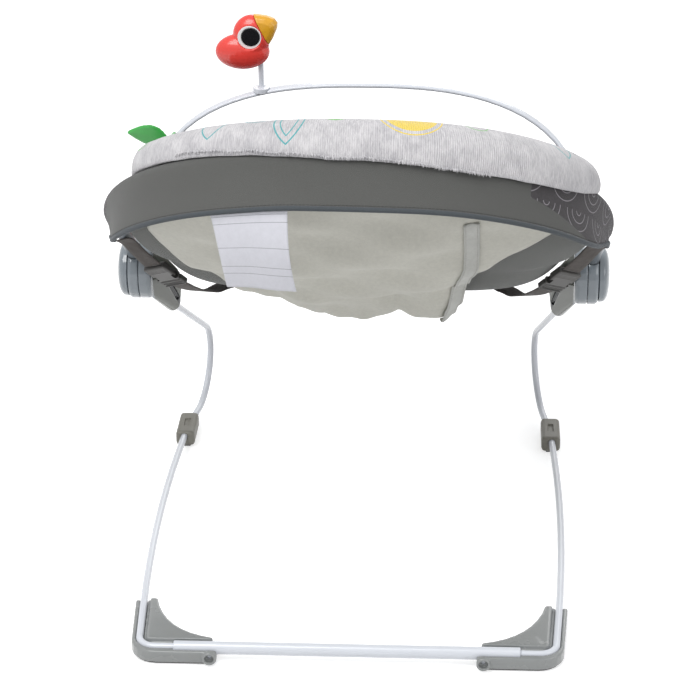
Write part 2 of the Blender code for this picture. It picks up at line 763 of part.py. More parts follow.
def border(sign):
    """The stretch border: over the tube from a seam inside it, and down to a hem outside."""
    rings = []
    start = HEAD_BORDER_START if sign > 0 else BORDER_START
    for place, out in sorted(STATIONS, key=lambda s: -math.atan2(s[0].x, sign * (s[0].y - WIDEST_AT))):
        if sign * place.y < start:
            continue
        up, outward = upright(place.y), Vector((out.x, 0, 0)) + heading(place.y) * out.y
        middle = on_frame(place.x, place.y)
        rings.append([middle + outward * o + up * u for o, u in border_section(skirt_depth(place.y))])
    return loft("border", rings)


def border_section(depth):
    """The border's section as (out, up): down its inside, round the hem, and back up its outside."""
    inside, outside = [(-FLAP_W, SLEEVE_IN)], [(-FLAP_W, SLEEVE_OUT)]
    for a in (90, 60, 30, 0):
        c, s = math.cos(math.radians(a)), math.sin(math.radians(a))
        inside.append((SLEEVE_IN * c, SLEEVE_IN * s))
        outside.append((SLEEVE_OUT * c, SLEEVE_OUT * s))
    lean = SKIRT_LEAN_RATIO * depth
    inside.append((SLEEVE_IN - lean, -depth + HEM_R))
    outside.append((SLEEVE_OUT - lean, -depth + HEM_R))
    hem = (SLEEVE_IN + SLEEVE_OUT) / 2 - lean
    tip = [(hem - HEM_R * 0.8, -depth), (hem, -depth - HEM_R * 0.7), (hem + HEM_R * 0.8, -depth)]
    return inside + tip + list(reversed(outside))


def hem_point(x):
    """The head border's hem at x, along the run between the two nearest stations."""
    head = sorted((s for s in STATIONS if s[0].y > WIDEST_AT), key=lambda s: s[0].x)
    found = []
    for place, out in head:
        outward = Vector((out.x, 0, 0)) + heading(place.y) * out.y
        depth = skirt_depth(place.y)
        hem = (SLEEVE_IN + SLEEVE_OUT) / 2 - SKIRT_LEAN_RATIO * depth
        found.append(on_frame(place.x, place.y) + outward * hem - upright(place.y) * (depth + HEM_R * 0.7))
    for a, b in zip(found, found[1:]):
        if a.x <= x <= b.x:
            return between(a, b, (x - a.x) / (b.x - a.x))
    return found[0]


# Sling: the pad and the lining below it

POLE = Vector((0, WIDEST_AT))


def sling_inset(q):
    """How far inside the tube's axis the pad's edge lies: clear of the hubs, close to the tube elsewhere."""
    free = RAIL_R + CLEARANCE * 3
    beside_hub = eased((abs(q) - CLIP_FROM_HUB - CLIP_L / 2) / 0.025)
    return between(HUB_INSET, free, beside_hub)


EDGE = [place - out * sling_inset(place.y) for place, out in STATIONS]


def sag(q, share):
    """Depth of the pad's underside below the sling's edges."""
    if q >= 0:
        lengthwise = eased((BACK_LENGTH - q) / (BACK_LENGTH * 0.80))
    else:
        lengthwise = eased((FOOT_LENGTH + q) / (FOOT_LENGTH * 0.72))
    depth = SAG_DEPTH * lengthwise + BOTTOM_EXTRA * bump(q, BOTTOM_AT, 0.055)
    return depth * (1 - min(share, 1.0) ** SAG_EXPONENT)


def pad_low(q, share):
    return -PAD_EDGE_T / 2 - sag(q, share)


def pad_thick(share):
    """Thin at the sewn edge, full inside it, and pinched where it is quilted."""
    body = between(PAD_EDGE_T, PAD_THICK, eased((1 - share) / 0.34))
    return body - PAD_THICK * 0.22 * bump(share, PAD_SHARES[1], 0.07)


def on_pad(station, share, rise):
    """A point above the pad's face, on the ray to one station."""
    plan = POLE + (EDGE[station] - POLE) * share
    return sling_point(plan.x, plan.y, pad_low(plan.y, share) + pad_thick(share) + rise)


def dish(name, shares, upper, lower):
    """A bowl through the rays to the stations. upper and lower give heights at (q, share, station)."""
    count = len(EDGE)
    points, faces = [], []
    for surface in (upper, lower):
        start = len(points)
        points.append(sling_point(0, POLE.y, surface(POLE.y, 0.0, 0)))
        for share in shares:
            for k, edge in enumerate(EDGE):
                plan = POLE + (edge - POLE) * share
                points.append(sling_point(plan.x, plan.y, surface(plan.y, share, k)))
        for k in range(count):
            n = (k + 1) % count
            faces.append((start, start + 1 + k, start + 1 + n))
            for row in range(len(shares) - 1):
                a, b = start + 1 + row * count, start + 1 + (row + 1) * count
                faces.append((a + k, b + k, b + n, a + n))
    rim = 1 + (len(shares) - 1) * count
    other = rim + 1 + len(shares) * count
    for k in range(count):
        n = (k + 1) % count
        faces.append((rim + k, rim + n, other + n, other + k))
    return object_from(name, points, faces)


def seat_pad():
    """The padded sling: thin where it is sewn in, crowned inside, with one quilted channel."""
    return dish(
        "seat_pad", PAD_SHARES,
        lambda q, share, k: pad_low(q, share) + pad_thick(share),
        lambda q, share, k: pad_low(q, share),
    )


def lining_top(q, share, k):
    """The lining hangs in soft folds below the pad and meets it at its rim."""
    rim = PAD_SHARES[LINING_ROWS - 1]
    loose = eased((rim - share) / (rim * 0.7)) ** 2
    turn = math.tau * k / len(EDGE)
    fold = LINING_FOLD * math.cos(7 * turn) * eased(share / 0.4)
    return pad_low(q, share) - CLEARANCE * 2 - (LINING_DROP + fold) * loose


def lining():
    return dish("lining", PAD_SHARES[:LINING_ROWS], lining_top, lambda q, s, k: lining_top(q, s, k) - LINING_T)


def head_roll():
    """The padded roll over the head end: crowned, tapering to rounded ends at the sides."""
    low = SLEEVE_OUT + CLEARANCE
    rings = []
    for place, out in STATIONS[1:-1]:
        if place.y < ROLL_FROM:
            continue
        away = 1 - min((place.y - ROLL_FROM) / ROLL_END_L, 1.0)
        size = 0.3 + 0.7 * math.sqrt(1 - away ** 2)
        outward = Vector((out.x, 0, 0)) + heading(place.y) * out.y
        middle, up = on_frame(place.x, place.y, low), upright(place.y)
        near, wide, tall = RAIL_R * 1.1, ROLL_W * size, ROLL_H * size
        ring = [middle + outward * near, middle - outward * wide]
        for i in range(1, 8):
            t = math.pi * (1 - i / 8)
            across = between(-wide, near, (1 + math.cos(t) * 1.06) / 2)
            ring.append(middle + outward * across + up * (tall * math.sin(t) ** 0.6))
        rings.append(ring)
    return loft("head_roll", rings)


def tag():
    """The blank satin tag sewn into the hem, which it follows across."""
    columns = []
    for i in range(9):
        x = TAG_X + TAG_W * (i / 8 - 0.5)
        before, after = hem_point(x - CLEARANCE), hem_point(x + CLEARANCE)
        inward = Vector((0, 0, 1)).cross(after - before).normalized() * (TAG_T / 2)
        top = hem_point(x) - Vector((0, 0, CLEARANCE))
        drops = [TAG_L * k / 5 for k in range(6)]
        line = [top - Vector((0, 0, drop)) + inward * (TAG_CURL * (drop / TAG_L) ** 2) for drop in drops]
        columns.append([p + inward for p in line] + [p - inward for p in reversed(line)])
    return loft("tag", columns)


# Laying pieces on the sling

def surface_of(*pieces):
    """The pieces' faces, for finding where something laid on them comes to rest."""
    points, faces = [], []
    for piece in pieces:
        start = len(points)
        points += [v.co.copy() for v in piece.data.vertices]
        faces += [[start + k for k in face.vertices] for face in piece.data.polygons]
    return BVHTree.FromPolygons(points, faces)


def landing(surface, x, q, sense):
    """The height at (x, q) of the surface's side that faces up (sense 1) or down (sense -1), if it is there."""
    place, up = sling_frame(q)
    base = Vector((x, 0, 0)) + place
    hit = surface.ray_cast(base + up * (sense * BACK_LENGTH), up * -sense)[0]
    return (hit - base).dot(up) if hit else -sense * BACK_LENGTH


def laid(surface, x, q, sense, half, rise):
    """A point above (or below) the surface that keeps a strip of the given half width clear of it."""
    spots = ((0, 0), (-half, 0), (half, 0), (0, -half), (0, half))
    heights = [landing(surface, x + a, q + b, sense) for a, b in spots]
    return sling_point(x, q, sense * (max(sense * h for h in heights) + rise))


# Straps and their side-release buckles below the seat

def strap_route(surface):
    """From under the back tube, diagonally below the sling, to the seam under the seat."""
    start = Vector((half_width(STRAP_TOP_Q), STRAP_TOP_Q))
    end = Vector((RAIL_HALF_W - STRAP_IN, STRAP_LOW_Q))
    under_tube = -(RAIL_R + LAID_GAP + WEB_T / 2)
    step = (end - start).normalized() * (RAIL_R * 1.2)
    route = [on_frame(start.x, start.y, under_tube), on_frame(start.x + step.x, start.y + step.y, under_tube)]
    for i in range(2, 17):
        t = i / 16
        plan = between(start, end, t)
        rise = LAID_GAP + WEB_T / 2 + STRAP_SAG * math.sin(math.pi * t) ** 0.5
        route.append(laid(surface, plan.x, plan.y, -1, WEB_W * 0.6, rise))
    return evenly(route, 24)


def strap_facing(run):
    """The strap's face looks where the sling's frame does, at each point of a run."""
    return [sling_frame(HUB_Y - p.y if p.y > HUB_Y else (HUB_Y - p.y) / math.cos(BACK_START))[1] for p in run]


def strap_split(strap):
    """The strap's run parted at the buckle: the upper run, the buckle's axis, and the tail."""
    total = sum((b - a).length for a, b in zip(strap, strap[1:]))
    first = round((len(strap) - 1) * STRAP_UPPER / total)
    last = first + math.ceil((SOCKET_L + PLUG_L + WEB_T * 2) / total * (len(strap) - 1))
    along = (strap[last] - strap[first]).normalized()
    return strap[:first + 1], strap[first], along, strap[last:]


def strap_up(place, along):
    """Square to the strap at its buckle, upwards."""
    up = strap_facing([place])[0]
    return (up - along * up.dot(along)).normalized()


def strap_upper(side, strap):
    run, start, along, _ = strap_split(strap)
    route = run[:-1] + [start - along * CLEARANCE]
    return twin(band("strap", route, strap_facing(route), WEB_W, WEB_T), side)


def buckle_socket(name, start, along, up):
    """The socket half, with a room for each prong."""
    centre = start + along * (CLEARANCE + SOCKET_L / 2)
    body = soften(slab(name, centre, along, up, (SOCKET_L, BUCKLE_W, BUCKLE_T)), BUCKLE_T / 5)
    across = along.cross(up)
    reach = PRONG_L + RUNNING * 2
    mouth = start + along * (CLEARANCE + SOCKET_L)
    for hand in (-1, 1):
        middle = mouth + along * (RUNNING - reach / 2) + across * (hand * (BUCKLE_W / 2 - PRONG_W))
        size = (reach + RUNNING * 2, PRONG_W + RUNNING * 2, PRONG_T + RUNNING * 2)
        cut(body, slab("room", middle, along, up, size))
    return body


def buckle_plug(name, start, along, up):
    """The plug half: a bar with two prongs that reach back into the socket."""
    mouth = start + along * (CLEARANCE * 2 + SOCKET_L)
    body = slab(name, mouth + along * (PLUG_L / 2), along, up, (PLUG_L, BUCKLE_W, BUCKLE_T * 0.8))
    soften(body, BUCKLE_T / 6)
    across = along.cross(up)
    for hand in (-1, 1):
        middle = mouth + along * ((PLUG_L / 2 - PRONG_L) / 2) + across * (hand * (BUCKLE_W / 2 - PRONG_W))
        fuse(body, slab("prong", middle, along, up, (PRONG_L + PLUG_L / 2 - RUNNING * 2, PRONG_W, PRONG_T)))
    return body


def strap_tail(side, strap):
    _, start, along, run = strap_split(strap)
    plug_end = start + along * (CLEARANCE * 3 + SOCKET_L + PLUG_L)
    route = [plug_end, *run[1:]]
    return twin(band("tail", route, strap_facing(route), WEB_W, WEB_T), side)


def strap_socket(side, strap):
    _, start, along, _ = strap_split(strap)
    return twin(buckle_socket("socket", start, along, strap_up(start, along)), side)


def strap_plug(side, strap):
    _, start, along, _ = strap_split(strap)
    return twin(buckle_plug("plug", start, along, strap_up(start, along)), side)


# Harness on top of the seat

BELT_STATION = min(
    range(len(STATIONS)), key=lambda k: abs(STATIONS[k][0].y - WIDEST_AT) + (0 if STATIONS[k][0].x > 0 else 1)
)
BUCKLE_PLACE = on_pad(BELT_STATION, 0.0, BUCKLE_RISE)
BUCKLE_UP = upright(WIDEST_AT)


def harness_buckle():
    """One housing with a room for each side's prongs."""
    half = SOCKET_L + PRONG_L / 2
    body = slab("harness_buckle", BUCKLE_PLACE, ACROSS, BUCKLE_UP, (2 * half, BUCKLE_W * 1.1, BUCKLE_T * 1.1))
    soften(body, BUCKLE_T / 5)
    across = ACROSS.cross(BUCKLE_UP)
    for end in (-1, 1):
        for hand in (-1, 1):
            middle = BUCKLE_PLACE + ACROSS * (end * (half + RUNNING - PRONG_L / 2))
            middle += across * (hand * (BUCKLE_W / 2 - PRONG_W))
            size = (PRONG_L + RUNNING * 4, PRONG_W + RUNNING * 2, PRONG_T + RUNNING * 2)
            cut(body, slab("room", middle, ACROSS, BUCKLE_UP, size))
    return body


def harness_plug(side):
    start = BUCKLE_PLACE + ACROSS * (PRONG_L / 2 - CLEARANCE)
    return twin(buckle_plug("harness_plug", start, ACROSS, BUCKLE_UP), side)


def belt(side, surface):
    """The waist belt from the plug out to its seam in the pad."""
    start = BUCKLE_PLACE + ACROSS * (PRONG_L / 2 + WEB_T * 2 + SOCKET_L + PLUG_L)
    route = [start]
    for i in range(1, 9):
        share = between(start.x / EDGE[BELT_STATION].x, BELT_SHARE, i / 8)
        plan = POLE + (EDGE[BELT_STATION] - POLE) * share
        rise = between(BUCKLE_RISE, LAID_GAP + WEB_T / 2, math.sin(math.pi / 2 * i / 8))
        route.append(laid(surface, plan.x, plan.y, 1, WEB_W * 0.35, rise))
    return twin(band("belt", route, [BUCKLE_UP] * len(route), WEB_W, WEB_T), side)


def crotch_flap(surface):
    """The padded tongue between the legs, from the seat up to the buckle."""
    top = BUCKLE_PLACE - heading(WIDEST_AT) * (BUCKLE_W * 0.55 + CLEARANCE)
    rings = []
    for i in range(9):
        t = i / 8
        q = between(CROTCH_Q, WIDEST_AT, t)
        half, thick = CROTCH_W / 2 * (1 - 0.35 * t), CROTCH_T / 2 * (1 if i < 8 else 0.7)
        rise = CROTCH_T / 2 + LAID_GAP + BUCKLE_RISE * eased(t * 1.5) * (1 if i else 0)
        base = between(laid(surface, 0.0, q, 1, half * 0.6, rise), top, eased(t))
        up = sling_frame(q)[1]
        turns = [math.tau * k / 10 for k in range(10)]
        rings.append([base + ACROSS * (half * math.cos(a)) + up * (thick * math.sin(a)) for a in turns])
    return loft("crotch_flap", rings)


# Toy bar

CLIP_AT = on_frame(half_width(-CLIP_FROM_HUB), -CLIP_FROM_HUB)
PIVOT = CLIP_AT + Vector((0, 0, PIVOT_RISE))
EAR_OUT = CLIP_AT.x + EAR_T / 2
KNUCKLE_X = EAR_OUT + RUNNING + KNUCKLE_T / 2


def clip(side):
    """A collar on the foot tube with an ear for the pivot."""
    down = heading(-CLIP_FROM_HUB)
    lean = (half_width(-CLIP_FROM_HUB + CLIP_L / 2) - half_width(-CLIP_FROM_HUB - CLIP_L / 2)) / CLIP_L
    along = (down + ACROSS * lean).normalized()
    half = along * (CLIP_L / 2)
    body = peg("clip", CLIP_AT - half, CLIP_AT + half, RAIL_R + CLIP_WALL + RUNNING, 20)
    high = PIVOT + Vector((EAR_T / 2, CLIP_L / 2 * 0.8, 0))
    ear = block("ear", (CLIP_AT.x - EAR_T / 2, CLIP_AT.y - CLIP_L * 0.4, CLIP_AT.z), high)
    knob_half = Vector((EAR_T / 2, 0, 0))
    fuse(body, ear, peg("knob", PIVOT - knob_half, PIVOT + knob_half, CLIP_L * 0.4, 20))
    route = [p for p in rail_route(-1) if p.x > 0][:6]
    bore = rod("bore", route, RAIL_R + RUNNING, 16)
    hole = peg("hole", PIVOT - ACROSS * HUB_R, PIVOT + ACROSS * HUB_R, PIVOT_R + RUNNING)
    return twin(cut(body, bore, hole), side)


def pivot_pin(side):
    """A headed pin through the ear and the bar's end."""
    inner = Vector((CLIP_AT.x - EAR_T / 2 - RUNNING, PIVOT.y, PIVOT.z))
    outer = Vector((KNUCKLE_X + KNUCKLE_T / 2 + RUNNING, PIVOT.y, PIVOT.z))
    head = ACROSS * (PIVOT_R * 0.8)
    shank = peg("pin", inner - head / 2, outer + head / 2, PIVOT_R)
    fuse(shank, peg("head", inner - head, inner, PIVOT_R * 1.7, 20))
    return twin(fuse(shank, peg("cap", outer, outer + head, PIVOT_R * 1.7, 20)), side)


def bar_route():
    """The toy bar's arch from one knuckle to the other, in a plane that leans forward."""
    rise, lean = BAR_TOP_Z - PIVOT.z, BAR_TOP_Y - PIVOT.y
    points = []
    for i in range(161):
        turn = math.pi * i / 160
        x = KNUCKLE_X * math.copysign(abs(math.cos(turn)) ** (2 / BAR_EXPONENT), math.cos(turn))
        up = abs(math.sin(turn)) ** (2 / BAR_EXPONENT)
        points.append(Vector((x, PIVOT.y + lean * up, PIVOT.z + rise * up)))
    return evenly(points, 44)


BAR = bar_route()


def bar_section(route, width, thick, sides=12):
    """Rings of a rounded oblong: thin across the arch, wide front to back."""
    rings = []
    for i, place in enumerate(route):
        along = (route[min(i + 1, len(route) - 1)] - route[max(i - 1, 0)]).normalized()
        wide = (Vector((0, 1, 0)) - along * along.y).normalized()
        out = along.cross(wide)
        ring = []
        for k in range(sides):
            a = math.tau * (k + 0.5) / sides
            c = math.copysign(abs(math.cos(a)) ** 0.7, math.cos(a))
            s = math.copysign(abs(math.sin(a)) ** 0.7, math.sin(a))
            ring.append(place + wide * (width / 2 * c) + out * (thick / 2 * s))
        rings.append(ring)
    return rings


def toy_bar():
    """The white arch, ending a little above each knuckle, inside the coral ends."""
    clear = CLIP_L * 0.4 + RUNNING * 2
    inner = [p for p in BAR if (p - Vector((math.copysign(PIVOT.x, p.x), PIVOT.y, PIVOT.z))).length > clear * 1.5]
    return loft("toy_bar", bar_section(inner, BAR_W * 0.8, BAR_T * 0.8))


def bar_end(side):
    """The coral end: a knuckle on the pivot and a socket round the bar."""
    knob_half = Vector((KNUCKLE_T / 2, 0, 0))
    centre = Vector((KNUCKLE_X, PIVOT.y, PIVOT.z))
    body = peg("bar_end", centre - knob_half, centre + knob_half, CLIP_L * 0.4, 20)
    legs = [p for p in BAR if p.x > 0 and p.z - PIVOT.z < CLIP_L * 0.6 + SOCKET_DEPTH]
    sleeve = loft("sleeve", bar_section([centre, *legs[1:]], BAR_W, KNUCKLE_T))
    fuse(body, sleeve)
    room = loft("room", bar_section([p for p in BAR if p.x > 0 and (p - centre).length > CLIP_L * 0.4 * 1.2],
                                    BAR_W * 0.8 + CLEARANCE * 2, BAR_T * 0.8 + CLEARANCE * 2))
    hole = peg("hole", centre - ACROSS * HUB_R, centre + ACROSS * HUB_R, PIVOT_R + RUNNING)
    return twin(cut(body, room, hole), side)


def leaf():
    """A moulded leaf with a collar that grips the left leg of the bar."""
    near = min(BAR, key=lambda p: (p - Vector((-KNUCKLE_X, BAR_TOP_Y, BAR_TOP_Z - LEAF_DROP))).length)
    k = BAR.index(near)
    run = BAR[k - 1:k + 2]
    collar = loft("leaf", bar_section(run, BAR_W + LEAF_T, BAR_T + LEAF_T))
    out = Vector((-1, 0, 0.35)).normalized()
    lift = Vector((0, -0.25, 1)).normalized()
    lift = (lift - out * lift.dot(out)).normalized()
    face = out.cross(lift)
    rings = []
    for i in range(11):
        t = i / 10
        half = LEAF_W / 2 * (math.sin(math.pi * min(t * 0.96 + 0.04, 0.985)) ** 0.75)
        middle = near + out * (BAR_T / 2 + LEAF_L * (t - 0.12)) + lift * (LEAF_L * 0.12 * math.sin(math.pi * t))
        ring = []
        for j in range(8):
            a = math.tau * j / 8
            ring.append(middle + lift * (half * math.cos(a)) + face * (LEAF_T / 2 * math.sin(a)))
        rings.append(ring)
    fuse(collar, loft("blade", rings))
    room = loft("room", bar_section(BAR[k - 3:k + 4], BAR_W * 0.8 + CLEARANCE * 2, BAR_T * 0.8 + CLEARANCE * 2))
    return cut(collar, room)


# Bird

def bar_top_at(x):
    """The bar's upper face at x, near its top."""
    for a, b in zip(BAR, BAR[1:]):
        if b.x <= x <= a.x:
            return between(a, b, (x - a.x) / (b.x - a.x)) + Vector((0, 0, BAR_T * 0.4))
    return BAR[len(BAR) // 2]


BIRD_FOOT = bar_top_at(BIRD_X)
BIRD_LOW = BIRD_FOOT + Vector((0, 0, BIRD_POST_H))
BIRD_BODY = BIRD_LOW + Vector((-BIRD_BACK, 0, BIRD_BODY_H / 2))
BIRD_HEAD = BIRD_BODY + Vector((BIRD_NECK_FORWARD, 0, BIRD_NECK_RISE))


def ball(name, centre, radii, tilt=0.0):
    """An egg-shaped solid, tilted in the X-Z plane."""
    made = bpy.data.meshes.new(name)
    shape = bmesh.new()
    bmesh.ops.create_uvsphere(shape, u_segments=28, v_segments=16, radius=1.0)
    shape.to_mesh(made)
    shape.free()
    place = Matrix.Translation(centre) @ Matrix.Rotation(tilt, 4, "Y") @ Matrix.Diagonal((*radii, 1))
    made.transform(place)
    solid = bpy.data.objects.new(name, made)
    bpy.context.scene.collection.objects.link(solid)
    return solid


def bird_post():
    """The pin that stands in the bar and carries the bird."""
    low, high = BIRD_FOOT - Vector((0, 0, BAR_T / 3)), BIRD_FOOT + Vector((0, 0, FLANGE_H))
    flange = peg("bird_post", low, high, FLANGE_R, 24)
    fuse(flange, peg("pin", BIRD_FOOT, BIRD_LOW + Vector((0, 0, PIN_IN_BIRD)), BIRD_POST_R))
    near = [p for p in BAR if abs(p.x - BIRD_X) < FLANGE_R * 4]
    return cut(flange, loft("saddle", bar_section(near, BAR_W * 0.8 + CLEARANCE * 2, BAR_T * 0.8 + CLEARANCE * 2)))


BEAK_TOP, BEAK_CHIN = (BIRD_HEAD + Vector((BEAK_OUTLINE[k][0], 0, BEAK_OUTLINE[k][1])) for k in (0, -1))
BEAK_SEAT = (BEAK_TOP + BEAK_CHIN) / 2
BEAK_FACE = (BEAK_CHIN - BEAK_TOP).normalized()
BEAK_OUT = Vector((-BEAK_FACE.z, 0, BEAK_FACE.x))


def bird_body():
    """Body, neck and head in one, flat where the beak sits, with pockets for the eyes."""
    half = BIRD_T / 2
    body = ball("bird", BIRD_BODY, (BIRD_BODY_L / 2, half, BIRD_BODY_H / 2))
    head = ball("head", BIRD_HEAD, (BIRD_HEAD_W / 2, half * 0.92, BIRD_HEAD_H / 2))
    neck_at = between(BIRD_BODY, BIRD_HEAD, 0.5) + Vector((BIRD_HEAD_W * 0.06, 0, 0))
    fuse(body, head, ball("neck", neck_at, (BIRD_HEAD_W * 0.45, half * 0.95, BIRD_HEAD_H * 0.42)))
    hole_top = BIRD_LOW + Vector((0, 0, PIN_IN_BIRD + RUNNING))
    room = BEAK_SEAT + BEAK_OUT * (BIRD_HEAD_W / 2 - CLEARANCE)
    size = (BIRD_HEAD_H * 1.5, BIRD_T * 1.5, BIRD_HEAD_W)
    cut(body, peg("hole", BIRD_FOOT, hole_top, BIRD_POST_R + RUNNING), slab("room", room, BEAK_FACE, BEAK_OUT, size))
    for hand in (-1, 1):
        cut(body, eye_disc(hand, BIRD_EYE_R + CLEARANCE, -CLEARANCE, BIRD_EYE_T * 9))
    return body


def bird_beak():
    """A blunt hooked beak, flat where it meets the face and rounded to both sides."""
    outline = [BIRD_HEAD + Vector((x, 0, z)) for x, z in BEAK_OUTLINE]
    rings = []
    for i in range(9):
        turn = math.pi * (i / 8 - 0.5)
        size = max(math.cos(turn), 0.02) ** 0.6
        aside = Vector((0, BEAK_T / 2 * math.sin(turn), 0))
        rings.append([BEAK_SEAT + (p - BEAK_SEAT) * size + aside for p in outline])
    return loft("beak", rings)


EYE_PLANE = BIRD_T * 0.33  # the eyes' flat seats, from the bird's middle plane
EYE_CENTRE = BIRD_HEAD + Vector((-BIRD_HEAD_W * 0.06, 0, 0))
PUPIL_SHIFT = Vector((0.0011, 0, 0.0006))


def eye_disc(hand, radius, low, high, shift=ORIGIN):
    start = EYE_CENTRE + shift + Vector((0, hand * (EYE_PLANE + low), 0))
    return peg("eye", start, EYE_CENTRE + shift + Vector((0, hand * (EYE_PLANE + high), 0)), radius, 24)


def eye_rim(hand):
    rim = eye_disc(hand, BIRD_EYE_R, 0.0, BIRD_EYE_T)
    return cut(rim, eye_disc(hand, BIRD_PUPIL_R + CLEARANCE, BIRD_EYE_T * 0.4, BIRD_EYE_T * 2, PUPIL_SHIFT))


def eye_pupil(hand):
    pupil = eye_disc(hand, BIRD_PUPIL_R, BIRD_EYE_T * 0.4 + CLEARANCE, BIRD_EYE_T * 1.5, PUPIL_SHIFT)
    return soften(pupil, BIRD_EYE_T * 0.3)


# Putting it together

def axis_at(name, place, parent):
    """An empty on a joint's axis."""
    made = bpy.data.objects.new(name, None)
    bpy.context.scene.collection.objects.link(made)
    made.parent = parent
    made.location = place - (Vector(parent["at"]) if parent else ORIGIN)
    made["at"] = place
    return made


def put(made, name, material, axis):
    """Names a piece, colours it, and hangs it on its axis."""
    made.name = made.data.name = name
    made.data.materials.clear()
    made.data.materials.append(material)
    made.data.transform(Matrix.Translation(-Vector(axis["at"])))
    made.parent = axis
    made.data.shade_smooth()
    made.data.set_sharp_from_angle(angle=math.radians(35))
    return made


def main():
    for old in list(bpy.data.objects):
        bpy.data.objects.remove(old)

    white = finish("white_enamel", (0.83, 0.85, 0.89), 0.28)
    grey = finish("grey_gloss_plastic", (0.21, 0.24, 0.27), 0.25)
    foot_grey = finish("foot_plastic", (0.30, 0.31, 0.30), 0.35)
    clip_grey = finish("clip_plastic", (0.21, 0.20, 0.17), 0.5)
    rubber = finish("dark_rubber", (0.02, 0.02, 0.02), 0.8)
    steel = finish("screw_steel", (0.45, 0.45, 0.46), 0.35, 1.0)
    tube_grey = finish("tube_enamel", (0.25, 0.28, 0.31), 0.35)
    border_grey = finish("border_stretch_fabric", (0.14, 0.14, 0.13), 0.9)
    heather = finish("heather_print_fabric", (0.60, 0.59, 0.63), 0.95)
    charcoal = finish("charcoal_fabric", (0.07, 0.06, 0.07), 0.95)
    cream = finish("cream_lining", (0.55, 0.52, 0.45), 0.9)
    satin = finish("white_satin", (0.72, 0.72, 0.78), 0.45)
    webbing = finish("brown_webbing", (0.065, 0.054, 0.048), 0.85)
    dark_plastic = finish("buckle_plastic", (0.08, 0.077, 0.073), 0.45)
    coral = finish("coral_plastic", (0.95, 0.11, 0.07), 0.3)
    leaf_green = finish("leaf_plastic", (0.07, 0.48, 0.09), 0.35)
    bird_red = finish("bird_plastic", (0.81, 0.06, 0.05), 0.3)
    beak_yellow = finish("beak_plastic", (0.70, 0.35, 0.02), 0.3)
    eye_white = finish("eye_white_plastic", (0.88, 0.88, 0.88), 0.25)
    eye_black = finish("eye_black_plastic", (0.01, 0.01, 0.01), 0.15)

    base = axis_at("base", ORIGIN, None)
    seat = axis_at("seat_bounce_axis", Vector((0, ROD[FLEX].y, ROD[FLEX].z)), base)
    bar = axis_at("toy_bar_axis", Vector((0, PIVOT.y, PIVOT.z)), seat)
    bird = axis_at("bird_axis", BIRD_FOOT, bar)

    ends = [Vector((side * CROSS_HALF, 0, WIRE_Z)) for side in (-1, 1)]
    put(pipe("cross", ends, CROSS_R, WIRE_R + RUNNING, 20), "rear_cross_tube", white, base)
    put(pipe("back", rail_route(1), RAIL_R, RAIL_R - RAIL_WALL, RAIL_SIDES), "back_frame_tube", tube_grey, seat)
    put(pipe("foot", rail_route(-1), RAIL_R, RAIL_R - RAIL_WALL, RAIL_SIDES), "foot_frame_tube", tube_grey, seat)
    put(border(1), "head_border", border_grey, seat)
    put(border(-1), "foot_border", border_grey, seat)
    pad, under = seat_pad(), lining()
    above_seat, below_seat = surface_of(pad), surface_of(pad, under)
    strap = strap_route(below_seat)
    put(pad, "seat_pad", charcoal, seat)
    put(under, "back_lining", cream, seat)
    put(head_roll(), "head_roll", heather, seat)
    put(tag(), "blank_tag", satin, seat)
    put(crotch_flap(above_seat), "crotch_flap", heather, seat)
    put(harness_buckle(), "harness_buckle", dark_plastic, seat)
    put(toy_bar(), "toy_bar_arch", white, bar)
    put(leaf(), "leaf_ornament", leaf_green, bar)
    put(bird_post(), "bird_post", white, bar)
    put(bird_body(), "bird_body", bird_red, bird)
    put(bird_beak(), "bird_beak", beak_yellow, bird)

    for side, word in ((1, "right"), (-1, "left")):
        put(twin(rod("wire", FLOOR_ROD, WIRE_R), side), f"{word}_floor_wire", white, base)
        put(twin(rod("wire", SPRING_ROD, WIRE_R), side), f"{word}_spring_wire", white, seat)
        put(rear_foot(side), f"{word}_rear_foot", foot_grey, base)
        put(rear_pad(side), f"{word}_rear_foot_pad", rubber, base)
        put(rear_screw(side), f"{word}_rear_foot_screw", steel, base)
        put(front_foot(side), f"{word}_front_foot", clip_grey, base)
        put(front_pad(side), f"{word}_front_foot_pad", rubber, base)
        put(hub_inner(side), f"{word}_hub_inner_shell", grey, seat)
        put(hub_outer(side), f"{word}_hub_outer_shell", grey, seat)
        put(hub_cap(side), f"{word}_hub_cap", grey, seat)
        put(hub_screw(side), f"{word}_hub_screw", steel, seat)
        put(strap_upper(side, strap), f"{word}_strap_webbing", webbing, seat)
        put(strap_tail(side, strap), f"{word}_strap_tail", webbing, seat)
        put(strap_socket(side, strap), f"{word}_buckle_socket", dark_plastic, seat)
        plug_at = strap_split(strap)[1]
        plug_axis = axis_at(f"{word}_buckle_axis", Vector((plug_at.x * side, plug_at.y, plug_at.z)), seat)
        put(strap_plug(side, strap), f"{word}_buckle_plug", dark_plastic, plug_axis)
        harness_axis = axis_at(f"{word}_harness_axis", BUCKLE_PLACE, seat)
        put(harness_plug(side), f"{word}_harness_plug", dark_plastic, harness_axis)
        put(belt(side, above_seat), f"{word}_waist_belt", webbing, seat)
        put(clip(side), f"{word}_toy_bar_clip", coral, seat)
        put(pivot_pin(side), f"{word}_pivot_pin", steel, bar)
        put(bar_end(side), f"{word}_toy_bar_end", coral, bar)

    for hand, word in ((-1, "rear"), (1, "front")):
        put(eye_rim(hand), f"bird_{word}_eye_rim", eye_white, bird)
        put(eye_pupil(hand), f"bird_{word}_pupil", eye_black, bird)

    bpy.context.view_layer.update()
    spans = []
    for made in bpy.data.objects:
        if made.type == "MESH":
            spans += [(made.matrix_world @ v.co).y for v in made.data.vertices]
    base.location.y = -(min(spans) + max(spans)) / 2


main()
